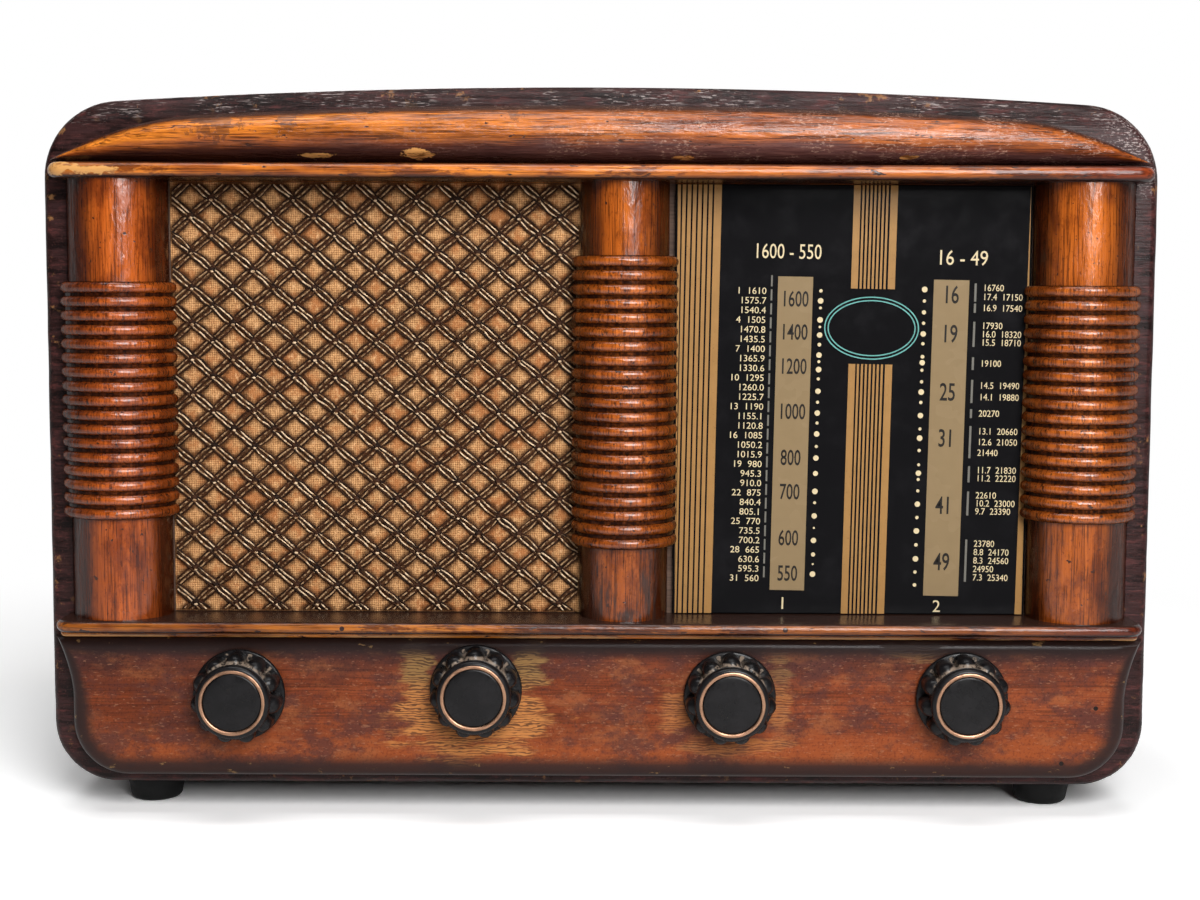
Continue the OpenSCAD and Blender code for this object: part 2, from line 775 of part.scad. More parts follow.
module drive_cord() {
    spindle = control_at(TUNING);
    cord_loop([[spindle[0], spindle[1], spindle_r], [drum_x, drum_z, drum_r]], cord_off[1]);
}

module pointer_cord() {
    low = [pulley_x, pulley_z[0], pulley_r];
    high = [pulley_x, pulley_z[1], pulley_r];
    cord_loop([low, [drum_x, drum_z, drum_r], high], cord_off[0]);
}

module pulley(z) {
    groove_r = pulley_r - cord_d / 2 - seat_gap;
    color(brass) difference() {
        rod(pulley_x, z, pulley_r + pulley_lip, cord_off[0] - pulley_t / 2, cord_off[0] + pulley_t / 2);
        facing(pulley_x, z, cord_off[0]) rotate_extrude()
            translate([groove_r, -groove_w / 2]) square([pulley_r, groove_w]);
        rod(pulley_x, z, pin_r + run_gap, cord_off[0] - pulley_t, cord_off[0] + pulley_t);
    }
}

module upper_pulley() { pulley(pulley_z[1]); }
module lower_pulley() { pulley(pulley_z[0]); }

// Pulley pins: driven into the baffle, with a shoulder before and a head behind the pulley
module pulley_pins() {
    near = cord_off[0] + pulley_t / 2 + seat_gap;
    far = cord_off[0] - pulley_t / 2 - seat_gap;
    color(steel) for (z = pulley_z) {
        rod(pulley_x, z, pin_r, far - 1, baffle_back + 8);
        rod(pulley_x, z, 3, near, baffle_back);
        rod(pulley_x, z, 3, far - 1, far);
    }
}

// Chassis: an upturned pan of sheet metal with turned-in lips on the cabinet's floor
module chassis() {
    half = shell_w / 2 - wall - 38;
    across = span(0, half - sheet_t);
    top = chassis_top - sheet_t;
    lip = 14;
    color(steel) difference() {
        block([-half, half], [chassis_back, chassis_front], [floor_z, chassis_top]);
        block(across, [chassis_back + lip, chassis_front - lip], [floor_z - overcut, top]);
        block(across, [chassis_back + sheet_t, chassis_front - sheet_t], [floor_z + sheet_t, top]);
        for (at = valve_places)
            post(at[0], at[1], valve_base_r - 3, top - overcut, chassis_top + overcut);
        for (i = [VOLUME : WAVE])
            rod(control_at(i)[0], control_at(i)[1], control_sleeve_r + run_gap,
                chassis_front - sheet_t - overcut, chassis_front + overcut);
        for (x = span(strip_x, socket_gap / 2))
            rod(x, strip_z, socket_boss_r + run_gap, chassis_back - overcut, chassis_back + sheet_t + overcut);
        at_chassis_screws() screw_hole(chassis_screw_len);
    }
}

// Transformers: a laminated core round a wound coil
module core(at, size) {
    limb = size[0] / 6;
    x = [at[0] - size[0] / 2, at[0] + size[0] / 2];
    half_t = size[1] / 4;
    difference() {
        block(x, [at[1] - half_t, at[1] + half_t], [chassis_top, chassis_top + size[2]]);
        for (s = [-1, 1])
            block([at[0] + s * limb * 1.5 - limb / 2, at[0] + s * limb * 1.5 + limb / 2],
                [at[1] - size[1], at[1] + size[1]], [chassis_top + limb, chassis_top + size[2] - limb]);
    }
}

module coil(at, size) {
    limb = size[0] / 6;
    low = chassis_top + limb + seat_gap;
    high = chassis_top + size[2] - limb - seat_gap;
    half_t = size[1] / 4;
    difference() {
        block(span(at[0], 2 * limb - seat_gap), span(at[1], size[1] / 2), [low, high]);
        block(span(at[0], limb + run_gap), span(at[1], half_t + run_gap), [low - overcut, high + overcut]);
    }
}

module transformer_cores() {
    color([0.22, 0.22, 0.24]) {
        core(mains_at, mains_size);
        core(output_trafo_at, output_size);
    }
}

module transformer_coils() {
    color([0.60, 0.42, 0.20]) {
        coil(mains_at, mains_size);
        coil(output_trafo_at, output_size);
    }
}

module filter_capacitor() {
    top = chassis_top + smoothing_h;
    color([0.70, 0.70, 0.68]) {
        post(smoothing_at[0], smoothing_at[1], smoothing_r, chassis_top, top);
        post(smoothing_at[0], smoothing_at[1], smoothing_r * 0.3, top - 1, top + 3);
    }
}

module if_cans() {
    color([0.78, 0.78, 0.76]) for (at = can_places)
        block(span(at[0], can_w / 2), span(at[1], can_w / 2), [chassis_top, chassis_top + can_h]);
}

module valve_sockets() {
    color([0.30, 0.16, 0.08]) for (at = valve_places) {
        post(at[0], at[1], valve_socket_r, chassis_top, chassis_top + valve_socket_t);
        post(at[0], at[1], valve_base_r - 3 - seat_gap, chassis_top - 8, chassis_top + eps);
    }
}

module valve_bases() {
    low = chassis_top + valve_socket_t;
    color(bakelite) for (at = valve_places) post(at[0], at[1], valve_base_r, low, low + valve_base_h);
}

// A blown glass bulb with a domed shoulder
module bulb(at, size) {
    r = size[0];
    h = size[1];
    neck = valve_base_r - 3;
    translate([at[0], front_y - at[1], chassis_top + valve_socket_t + valve_base_h]) rotate_extrude()
        intersection() {
            union() {
                square([neck, h * 0.3]);
                translate([0, h * 0.12]) square([r, h - h * 0.12 - r * 0.8]);
                translate([0, h - r]) circle(r);
            }
            square([r, h]);
        }
}

module rectifier_bulb() { color(bulb_glass) bulb(rectifier_at, rectifier_bulb_size); }
module output_bulb() { color(bulb_glass) bulb(output_at, output_bulb_size); }
module signal_bulbs() { color(bulb_glass) for (at = signal_at) bulb(at, signal_bulb_size); }

// Aerial and earth sockets on the chassis' back
module socket_strip() {
    thick = 3;
    places = span(strip_x, socket_gap / 2);
    color([0.35, 0.20, 0.10]) difference() {
        union() {
            block(span(strip_x, strip_w / 2), [chassis_back - thick, chassis_back], span(strip_z, strip_h / 2));
            for (x = places) rod(x, strip_z, socket_boss_r, chassis_back - eps, chassis_back + 9);
        }
        for (x = places) rod(x, strip_z, socket_r, chassis_back - thick - overcut, chassis_back + 7);
    }
}

// Tuning capacitor: an open frame, fixed blades below and half-round blades on the shaft
module gang_frame() {
    x = span(drum_x, gang_w / 2);
    back = gang_front - gang_len;
    color(steel) difference() {
        union() {
            block(x, [back, gang_front], [gang_floor, gang_floor + gang_plate_t]);
            for (off = [back, gang_front - gang_plate_t])
                block(x, [off, off + gang_plate_t], [gang_floor, drum_z + 9]);
            for (px = [x[0] + 6, x[1] - 6], off = [back + 6, gang_front - 6])
                post(px, off, 4, chassis_top, gang_floor + eps);
        }
        rod(drum_x, drum_z, shaft_r + run_gap, back - overcut, gang_front + overcut);
    }
}

module gang_stator() {
    bar_x = rotor_r + 3;
    bar_z = drum_z - 14;
    back = gang_front - gang_len + gang_plate_t;
    front = gang_front - gang_plate_t;
    first = (front + back) / 2 - (stator_plates - 1) * blade_pitch / 2;
    color([0.80, 0.80, 0.80]) {
        for (i = [0 : stator_plates - 1]) let (off = first + i * blade_pitch) difference() {
            block(span(drum_x, bar_x + 1), span(off, blade_t / 2), [gang_floor + gang_plate_t + 1, drum_z - 4]);
            rod(drum_x, drum_z, shaft_r + 3.5, off - 1, off + 1);
        }
        for (s = [-1, 1]) rod(drum_x + s * bar_x, bar_z, 2, back, front);
    }
}

module gang_rotor() {
    back = gang_front - gang_len;
    mid = gang_front - gang_len / 2;
    collar = gang_plate_t + seat_gap;
    first = mid - (rotor_plates - 1) * blade_pitch / 2;
    color([0.85, 0.85, 0.80]) {
        rod(drum_x, drum_z, shaft_r, back - 4, (cord_off[0] + cord_off[1]) / 2 + 4);
        rod(drum_x, drum_z, shaft_r + 1.5, back + collar, gang_front - collar);
        for (i = [0 : rotor_plates - 1]) let (off = first + i * blade_pitch) intersection() {
            rod(drum_x, drum_z, rotor_r, off - blade_t / 2, off + blade_t / 2);
            block(span(drum_x, rotor_r + 1), span(off, 1), [drum_z - rotor_r - 1, drum_z]);
        }
    }
}

// A control fixed in the chassis' front by its sleeve and nut
module control_body(i, r, depth) {
    at = control_at(i);
    back = chassis_front - sheet_t;
    difference() {
        union() {
            rod(at[0], at[1], r, back - depth, back);
            rod(at[0], at[1], control_sleeve_r, back - eps, chassis_front + nut_t + 1);
            facing(at[0], at[1], chassis_front) cylinder(r = nut_r, h = nut_t, $fn = 6);
        }
        rod(at[0], at[1], shaft_r + run_gap, back - 8, chassis_front + nut_t + 2);
    }
}

module volume_control() { color([0.55, 0.55, 0.52]) control_body(VOLUME, 14, 16); }
module tone_control() { color([0.55, 0.55, 0.52]) control_body(TONE, 13, 12); }
module tuning_bush() { color(brass) control_body(TUNING, 6.5, 9); }

// Wave switch: an indexing plate and two wafers on spacer rods
module wave_switch() {
    at = control_at(WAVE);
    back = chassis_front - sheet_t;
    color([0.60, 0.42, 0.22]) {
        control_body(WAVE, 11, 10);
        for (off = [back - 22, back - 36]) rod(at[0], at[1], 19, off - 2, off);
        for (s = [-1, 1]) rod(at[0] + s * 9, at[1], 1.5, back - 40, back - 9);
    }
}

// A control shaft, from inside its knob back into its control
module control_shaft(i) {
    at = control_at(i);
    rod(at[0], at[1], shaft_r, chassis_front - sheet_t - 7.5, knob_back + knob_h * 0.7 - seat_gap);
}

module volume_shaft() { color(steel) control_shaft(VOLUME); }
module tone_shaft() { color(steel) control_shaft(TONE); }
module wave_shaft() { color(steel) control_shaft(WAVE); }

// Tuning shaft: carries the spool that drives the cord
module tuning_shaft() {
    at = control_at(TUNING);
    spool_r = spindle_r - cord_d / 2 - seat_gap;
    lip = 0.6;
    off = cord_off[1];
    color(steel) {
        control_shaft(TUNING);
        rod(at[0], at[1], max(spool_r, shaft_r), off - groove_w, off + groove_w);
        for (edge = [off - groove_w / 2 - lip, off + groove_w / 2])
            rod(at[0], at[1], shaft_r + 2.5, edge, edge + lip);
    }
}

// A knob: round flange, lobed grip, round front rim and a channel for the copper ring
ring_gap = 0.1;
channel_d = 1.5;

module knob(i) {
    at = control_at(i);
    grip_r = knob_r - 4.6;
    flange_t = 2.4;
    grip_h = knob_h * 0.52;
    rim = knob_h - 5;
    round_off = 1.4;
    color(bakelite) facing(at[0], at[1], knob_back) difference() {
        union() {
            rotate_extrude($fn = 72) polygon([
                [0, 0], [knob_r - 0.7, 0], [knob_r, 0.7], [knob_r, flange_t - 0.7], [knob_r - 0.7, flange_t],
                [grip_r, flange_t], [grip_r, rim - 1], [knob_rim_r, rim], [knob_rim_r, knob_h - round_off],
                [knob_rim_r - 0.4, knob_h - 0.4], [knob_rim_r - round_off, knob_h],
                [ring_outer_r + ring_gap, knob_h], [ring_outer_r + ring_gap, knob_h - channel_d],
                [ring_inner_r - ring_gap, knob_h - channel_d], [ring_inner_r - 0.4, knob_h - 0.7],
                [ring_inner_r - 1, knob_h - 0.3], [0, knob_h - 0.3]
            ]);
            for (k = [0 : lobes - 1])
                rotate([0, 0, 90 + 360 * k / lobes]) translate([knob_r - 0.5 - lobe_r, 0, flange_t - eps]) {
                    cylinder(r = lobe_r, h = grip_h - flange_t, $fn = 24);
                    translate([0, 0, grip_h - flange_t]) sphere(r = lobe_r, $fn = 24);
                }
        }
        translate([0, 0, -overcut]) cylinder(r = shaft_r + run_gap, h = knob_h * 0.7 + overcut);
    }
}

module knob_ring(i) {
    at = control_at(i);
    color(copper) facing(at[0], at[1], knob_front - channel_d) difference() {
        cylinder(r = ring_outer_r, h = channel_d + ring_proud, $fn = 72);
        translate([0, 0, -overcut]) cylinder(r = ring_inner_r, h = channel_d + 2 * overcut, $fn = 72);
    }
}

module volume_knob() { knob(VOLUME); }
module tone_knob() { knob(TONE); }
module tuning_knob() { knob(TUNING); }
module wave_knob() { knob(WAVE); }
module volume_ring() { knob_ring(VOLUME); }
module tone_ring() { knob_ring(TONE); }
module tuning_ring() { knob_ring(TUNING); }
module wave_ring() { knob_ring(WAVE); }

// Speaker: basket with windows, paper cone and magnet
module turned_speaker_part() {
    facing(speaker_x, bay_mid_z, baffle_back) rotate([180, 0, 0]) rotate_extrude($fn = 96) children();
}

module speaker_basket() {
    t = speaker_sheet;
    color([0.25, 0.25, 0.26]) difference() {
        turned_speaker_part() polygon([
            [speaker_hole_r - 2, 0], [speaker_rim_r, 0], [speaker_rim_r, t], [speaker_hole_r, t],
            [basket_throat_r, basket_d], [0, basket_d], [0, basket_d - t], [basket_throat_r - 1, basket_d - t]
        ]);
        for (a = [0 : 90 : 270])
            facing(speaker_x, bay_mid_z, baffle_back - basket_d * 0.78) rotate([0, 0, a])
                translate([basket_throat_r, -14, 0]) cube([speaker_hole_r, 28, basket_d * 0.55]);
        at_speaker_screws() screw_hole(speaker_screw_len);
    }
}

module speaker_cone() {
    paper = 0.8;
    slope = (speaker_hole_r - 1 - basket_throat_r) / (basket_d - speaker_sheet);
    lip_r = speaker_hole_r - 2 - paper * slope - seat_gap;
    throat = basket_d - speaker_sheet - seat_gap;
    color([0.12, 0.10, 0.09]) turned_speaker_part() polygon([
        [lip_r - 6, 0], [lip_r, 0], [lip_r, paper], [lip_r - 6, paper],
        [14, throat], [0, throat], [0, throat - paper], [14 - paper, throat - paper]
    ]);
}

module speaker_magnet() {
    back = baffle_back - basket_d;
    color([0.30, 0.30, 0.32]) {
        rod(speaker_x, bay_mid_z, magnet_r, back - magnet_d, back);
        rod(speaker_x, bay_mid_z, magnet_r + 3, back - magnet_d, back - magnet_d + 5);
    }
}

cabinet_shell();
front_baffle();
crown_moulding();
upper_bar();
ledge_board();
ledge_fillet();
control_board();
left_column();
middle_column();
right_column();
grille_cloth();
back_cover();
cabinet_screws();
rubber_feet();
mains_gland();
dial_glass();
dial_backplate();
pointer_rails();
dial_pointer();
dial_lamps();
lamp_holders();
dial_drum();
drive_cord();
pointer_cord();
upper_pulley();
lower_pulley();
pulley_pins();
chassis();
transformer_cores();
transformer_coils();
filter_capacitor();
if_cans();
valve_sockets();
valve_bases();
rectifier_bulb();
output_bulb();
signal_bulbs();
socket_strip();
gang_frame();
gang_stator();
gang_rotor();
volume_control();
tone_control();
wave_switch();
tuning_bush();
volume_shaft();
tone_shaft();
tuning_shaft();
wave_shaft();
volume_knob();
tone_knob();
tuning_knob();
wave_knob();
volume_ring();
tone_ring();
tuning_ring();
wave_ring();
speaker_basket();
speaker_cone();
speaker_magnet();
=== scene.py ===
"""Dressed model of a table radio with valves, built round its packed frame.

The cabinet's wood, turned columns, grille cloth, printed dial, knobs, rings and feet are made here
and stand for their plain solids. What lies behind them keeps its solid and gets its finish.
Lengths are in metres, X runs to the right, Z is up and the front faces -Y.
"""

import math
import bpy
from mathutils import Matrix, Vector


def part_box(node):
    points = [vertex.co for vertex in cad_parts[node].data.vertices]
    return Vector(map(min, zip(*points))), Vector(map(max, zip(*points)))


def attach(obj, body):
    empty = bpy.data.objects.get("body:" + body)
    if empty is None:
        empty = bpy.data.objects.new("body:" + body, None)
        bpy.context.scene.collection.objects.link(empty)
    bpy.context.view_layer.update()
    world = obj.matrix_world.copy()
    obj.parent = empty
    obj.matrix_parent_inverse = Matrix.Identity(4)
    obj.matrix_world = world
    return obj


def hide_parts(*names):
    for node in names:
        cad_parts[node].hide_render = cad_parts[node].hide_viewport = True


bl_info = {
    "name": "Table radio dresser",
    "version": (1, 0, 0),
    "blender": (4, 5, 0),
    "location": "View3D > Sidebar > Radio",
    "description": "Makes the wood, cloth, dial, knobs and finishes of a table radio round its frame",
    "category": "Object",
}

import bmesh
import bpy
import numpy as np
from mathutils import Matrix, Vector, noise

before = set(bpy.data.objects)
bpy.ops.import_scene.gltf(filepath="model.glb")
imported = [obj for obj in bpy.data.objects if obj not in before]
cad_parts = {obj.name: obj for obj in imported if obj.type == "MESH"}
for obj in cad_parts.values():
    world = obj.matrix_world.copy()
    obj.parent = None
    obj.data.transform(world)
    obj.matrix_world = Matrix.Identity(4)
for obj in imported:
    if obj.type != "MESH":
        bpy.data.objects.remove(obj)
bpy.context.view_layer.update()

MM = 0.001
SMOOTH_ANGLE = 38
WOOD_SHINE = 0.4
DARK_SHINE = 0.2
COLUMN_SHINE = 0.6
MOULDING_SHINE = 0.22
GLASS_SHINE = 0.03
DULL_SHINE = 0.12
SLANT_SHINE = 0.03
GROOVE_SHINE = 0.06

# Planes and places that the frame gives
SHELL_LOW, SHELL_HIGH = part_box("cabinet_shell")
FRONT = SHELL_LOW.y
BACK = SHELL_HIGH.y
HALF_WIDTH = SHELL_HIGH.x
FOOT_TOP = SHELL_LOW.z
CREST = SHELL_HIGH.z
BAFFLE_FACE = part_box("front_baffle")[0].y
BAR_LOW, BAR_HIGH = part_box("upper_bar")
LEDGE_LOW, LEDGE_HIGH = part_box("ledge_board")
FILLET_LOW, FILLET_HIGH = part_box("ledge_fillet")
CROWN_LOW, CROWN_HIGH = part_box("crown_moulding")
BOARD_LOW, BOARD_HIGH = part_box("control_board")
CLOTH_LOW, CLOTH_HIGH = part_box("grille_cloth")
GLASS_LOW, GLASS_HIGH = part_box("dial_glass")
COLUMNS = ["left_column", "middle_column", "right_column"]
CONTROLS = ["volume", "tone", "tuning", "wave"]

# Worn places on the front, and a patch of pale crazing with painted glints at the shell's corner, in mm: x,
# z, half width, half height
SHELL_CRAZING_AND_GLINTS = [(250, 314, 15, 17)]
CROWN_CHIPS = [(-130, 309.4, 8, 0.9), (-84, 310.3, 7, 2.2), (38, 309, 5, 0.9), (141, 309.5, 4, 0.9)]
CROWN_BRUISES = [(-176, 324, 9, 8), (-143, 325, 4, 5), (-40, 328, 3, 3)]
BAR_CHIPS = [(-245, 302.5, 9, 3.2), (-230, 301.6, 13, 1.7)]
BAR_HOLES = [(-118.5, 92.6, 1.1, 1.1), (85.7, 92.8, 1.1, 1.1)]
COLUMN_BURNS = [(26, 103, 9, 14), (0, 101, 9, 10), (13, 97.5, 14, 3.5)]
BOARD_BARE = [
    (-62, 43, 31, 13), (-85, 67, 7, 17), (-80, 46, 15, 12), (-34, 45, 10, 14), (-33, 72, 8, 13),
    (85, 60, 5, 20), (36, 52, 7, 10), (62, 35, 24, 5), (148, 80, 12, 5),
]
BOARD_HOLES = [(233.5, 53.5, 1.1, 1.1), (218, 27, 1.1, 1.1)]

# How much redder each column's lacquer is, and how dark its foot
COLUMN_TONES = [(1.0, 0.15), (0.0, 0.75), (0.0, 0.4)]


def length(name, mm):
    """A size that a user can change, given in mm."""
    return bpy.props.FloatProperty(name=name, default=mm * MM, min=0, precision=4, unit="LENGTH")


def count(name, default):
    """A number of copies that a user can change."""
    return bpy.props.IntProperty(name=name, default=default, min=1)


def colour(name, *default):
    """A colour that a user can change."""
    return bpy.props.FloatVectorProperty(name=name, default=default, size=3, min=0, max=1, subtype="COLOR")


class CabinetSizes(bpy.types.PropertyGroup):
    """Sizes of the cabinet, its mouldings and its boards."""

    wall: length("Thickness of the cabinet's wall", 12)
    top_r: length("Radius of the two top corners", 36)
    base_r: length("Radius of the two base corners", 30)
    arch_r: length("Radius of the slightly arched top", 3600)
    rim_round: length("Rounding of the rim's front edge", 4)
    rim_wear: length("Depth of the dents along the rim's edge", 0.5)
    lip: length("Width of the lips that close the corners beside the crown", 7)
    rebate: length("Depth of the rebate that takes the back cover", 5)
    rebate_w: length("Width of the rebate that takes the back cover", 6)
    crown_r: length("Radius of the crown moulding's long top edge", 3460)
    crown_end: length("Length of the crown's falling stretch at each end", 70)
    bar_corner: length("Radius of the bars' front corners", 9)
    ledge_lift: length("How much the ledge's nose is thinner than its board", 1.2)
    tongue: length("Half length of a bar's tongue inside the cabinet", 247)
    board_corner: length("Radius of the control board's lower corners", 26)
    board_round: length("Rounding of the control board's front edge", 5)
    flare: length("Outward flare of the board's upper ends", 7.3)
    flare_h: length("Height of the board's flared ends", 29)


class ColumnSizes(bpy.types.PropertyGroup):
    """Sizes of the turned columns."""

    side_r: length("Radius of a side column's plain shaft", 23)
    middle_r: length("Radius of the middle column's plain shaft", 20.6)
    side_ring_r: length("Radius over a side column's rings", 26.8)
    middle_ring_r: length("Radius over the middle column's rings", 25)
    side_rings: count("Number of rings on a side column", 17)
    middle_rings: count("Number of rings on the middle column", 21)
    pitch: length("Distance from one ring to the next", 6.5)
    bead: length("Radius of a ring's round bead", 2.7)
    groove: length("Depth of the grooves between the rings", 1.9)


class ClothSizes(bpy.types.PropertyGroup):
    """Sizes of the grille cloth and its raised lattice."""

    across: length("Distance from knot to knot along a row", 19.2)
    upward: length("Distance from knot to knot up a column", 16.6)
    pale_gap: length("Distance of a band's pale cords from its middle", 1.05)
    dark_gap: length("Distance of a band's dark cords from its middle", 1.85)
    cord_r: length("Radius of a lattice cord", 0.37)
    knot: length("Radius of a knot", 1.3)
    seed: count("Seed of the cloth's small faults", 7)


class KnobSizes(bpy.types.PropertyGroup):
    """Sizes of the four knobs and of the feet."""

    flange_r: length("Radius of a knob's back flange", 21.6)
    flange_t: length("Thickness of a knob's back flange", 2.4)
    grip_r: length("Radius of the grip between the lobes", 17)
    rim_r: length("Radius of a knob's front rim", 17.3)
    depth: length("Depth of a knob", 20)
    lobes: count("Number of grip lobes on a knob", 11)
    lobe_r: length("Radius of one grip lobe", 4.4)
    ring_outer: length("Outer radius of the copper ring", 15.4)
    ring_inner: length("Inner radius of the copper ring", 13.6)
    bore: length("Radius of a knob's bore", 3.05)
    foot_r: length("Radius of a rubber foot at its top", 14.5)


class RadioColours(bpy.types.PropertyGroup):
    """Colours of the parts that show most."""

    shell: colour("Dark lacquer of the cabinet", 0.032, 0.012, 0.011)
    orange: colour("Orange lacquer of the crown and bars", 0.64, 0.185, 0.018)
    column: colour("Orange-brown lacquer of the columns", 0.45, 0.100, 0.009)
    board: colour("Red-brown lacquer of the control board", 0.20, 0.040, 0.010)
    bare: colour("Wood where the lacquer is gone", 0.58, 0.34, 0.13)
    cloth: colour("Ground of the grille cloth", 0.54, 0.275, 0.112)
    pale_cord: colour("Pale cords of the lattice", 0.80, 0.58, 0.37)
    dark_cord: colour("Dark cords of the lattice", 0.014, 0.006, 0.003)
    glass: colour("Black ground of the dial", 0.0070, 0.0068, 0.0075)
    gold: colour("Gold stripes of the dial", 0.34, 0.18, 0.06)
    strip: colour("Strips behind the dial's numbers", 0.25, 0.175, 0.092)
    cream: colour("Dots and small numbers of the dial", 0.66, 0.54, 0.33)
    knob: colour("Dark moulding of the knobs", 0.006, 0.0055, 0.006)
    copper: colour("Copper of the knobs' rings", 0.48, 0.27, 0.17)


GROUPS = {
    "radio_cabinet": CabinetSizes,
    "radio_columns": ColumnSizes,
    "radio_cloth": ClothSizes,
    "radio_knobs": KnobSizes,
    "radio_colours": RadioColours,
}


def tinted(tint, factor, lean=(1, 1, 1)):
    """A colour made lighter or darker, and leaned towards a hue."""
    return tuple(min(1.0, c * factor * k) for c, k in zip(tint, lean))


class Finish:
    """A node material in the making, with the tones that are laid on it one over another."""

    def __init__(self, name, tones=None):
        self.material = bpy.data.materials.new(name)
        self.material.use_nodes = True
        self.tree = self.material.node_tree
        self.tree.nodes.clear()
        self.place = self.node("TexCoord").outputs["Object"]
        self.tones = tones

    def put(self, socket, value):
        """Links a socket to another, or sets its value."""
        if isinstance(value, bpy.types.NodeSocket):
            self.tree.links.new(value, socket)
        elif socket.type == "RGBA":
            socket.default_value = (*value[:3], 1)
        else:
            socket.default_value = value

    def node(self, kind, settings=None, **sockets):
        """A node with its settings and its named sockets."""
        made = self.tree.nodes.new("ShaderNode" + kind)
        for key, value in (settings or {}).items():
            setattr(made, key, value)
        for key, value in sockets.items():
            self.put(made.inputs[key.replace("_", " ")], value)
        return made

    def math(self, operation, *values):
        """A sum on one or two values."""
        made = self.node("Math", {"operation": operation})
        for socket, value in zip(made.inputs, values):
            self.put(socket, value)
        return made.outputs[0]

    def times(self, first, *others):
        """Values multiplied one by another."""
        for value in others:
            first = self.math("MULTIPLY", first, value)
        return first

    def plus(self, a, b):
        """The sum of two values."""
        return self.math("ADD", a, b)

    def less(self, a, b):
        """One value less another."""
        return self.math("SUBTRACT", a, b)

    def most(self, a, b):
        """The larger of two values."""
        return self.math("MAXIMUM", a, b)

    def mix(self, amount, a, b, blend="MIX"):
        """One colour over another."""
        made = self.node("Mix", {"data_type": "RGBA", "blend_type": blend, "clamp_factor": True})
        for index, value in ((0, amount), (6, a), (7, b)):
            self.put(made.inputs[index], value)
        return made.outputs[2]

    def lay(self, mask, tint, amount=None, blend="MIX"):
        """Lays a colour over the tones where a mask says so, in full or in part."""
        if amount is not None:
            mask = self.times(mask, amount)
        self.tones = self.mix(mask, self.tones, tint, blend)

    def dark(self, mask, factor, lean=(1, 1, 1), amount=None):
        """Darkens the tones by a factor where a mask says so, and keeps their grain."""
        self.lay(mask, tinted((1, 1, 1), factor, lean), amount, "MULTIPLY")

    def mapped(self, scale=(1, 1, 1), shift=(0, 0, 0)):
        """Coordinates scaled and shifted."""
        return self.node("Mapping", Vector=self.place, Location=shift, Scale=scale).outputs[0]

    def noise(self, scale, detail=4, rough=0.55, stretch=(1, 1, 1), warp=0):
        """Soft noise from 0 to 1; the scale counts its lumps in a metre."""
        return self.node(
            "TexNoise", Vector=self.mapped(stretch), Scale=scale, Detail=detail, Roughness=rough,
            Distortion=warp,
        ).outputs["Fac"]

    def between(self, value, low, high, out_low=0.0, out_high=1.0):
        """A smooth step from one value to another."""
        return self.node(
            "MapRange", {"interpolation_type": "SMOOTHSTEP"},
            Value=value, From_Min=low, From_Max=high, To_Min=out_low, To_Max=out_high,
        ).outputs[0]

    def lumps(self, scale, low, high, detail=4, rough=0.55, stretch=(1, 1, 1), warp=0):
        """A mask of the noise's lumps, which rises from one level of it to another."""
        return self.between(self.noise(scale, detail, rough, stretch, warp), low, high)

    def sway(self, size, scale, detail=4, rough=0.55, stretch=(1, 1, 1)):
        """Noise to both sides of 0, times a size."""
        return self.times(self.less(self.noise(scale, detail, rough, stretch), 0.5), size)

    def ramp(self, value, *stops):
        """Colours along a value, each stop given as (place, colour)."""
        made = self.node("ValToRGB", Fac=value)
        points = made.color_ramp.elements
        while len(points) < len(stops):
            points.new(0.5)
        for point, (position, tint) in zip(points, stops):
            point.position = position
            point.color = (*tint, 1)
        return made.outputs["Color"]

    def mark(self, name):
        """A value that the mesh carries at its points."""
        return self.node("Attribute", {"attribute_name": name}).outputs["Fac"]

    def axes(self, place=None):
        """The three coordinates, one by one."""
        return self.node("SeparateXYZ", Vector=place or self.place).outputs

    def spots(self, places, ragged=0.5, scale=160, stretch=(1, 1, 1), soft=0.09):
        """A mask of ragged patches on the front, each given in mm as (x, z, half width, half height)."""
        edge = self.sway(ragged * 4, scale, 5, 0.6, stretch)
        found = None
        for x, z, rx, rz in places:
            rx, rz = rx * MM, rz * MM
            there = self.mapped((1 / rx, 0, 1 / rz), (-x * MM / rx, 0, -z * MM / rz))
            away = self.node("VectorMath", {"operation": "LENGTH"}, Vector=there).outputs["Value"]
            patch = self.between(self.plus(away, edge), 1 + soft, 1 - soft)
            found = patch if found is None else self.most(found, patch)
        return found

    def slant(self, low, high):
        """0 where a surface is looked at straight, 1 at a slant: it follows the viewer, as gloss does."""
        return self.between(self.node("LayerWeight", Blend=0.5).outputs["Facing"], low, high)

    def raw(self, bare):
        """Raw wood with bits of stain left in its grain."""
        left = self.lumps(380, 0.50, 0.62, 4, 0.65, (0.35, 1, 1))
        return self.mix(left, tinted(bare, 1.1, (1, 0.84, 0.68)), (0.30, 0.11, 0.03))

    def ripples(self, along):
        """Unevenness of old brushed lacquer, which breaks up its highlights."""
        stretch = [1.0, 1.0, 1.0]
        stretch[along] = 0.3
        return self.times(self.noise(330, 4, 0.55, stretch), 4.5)

    def surface(self, rough, shine=None, height=None, distance=0.0, strength=1.0, **sockets):
        """The shader with the tones laid so far, raised by a height from 0 to 1 times a distance."""
        if shine is not None:
            sockets["Specular_IOR_Level"] = shine
        if height is not None:
            bump = self.node("Bump", Strength=strength, Distance=distance, Height=height)
            sockets["Normal"] = bump.outputs[0]
        shader = self.node("BsdfPrincipled", Base_Color=self.tones, Roughness=rough, **sockets)
        return self.shown(shader)

    def shown(self, shader):
        """Links a shader to the material's output."""
        output = self.node("OutputMaterial")
        self.tree.links.new(shader.outputs[0], output.inputs["Surface"])
        return self.material


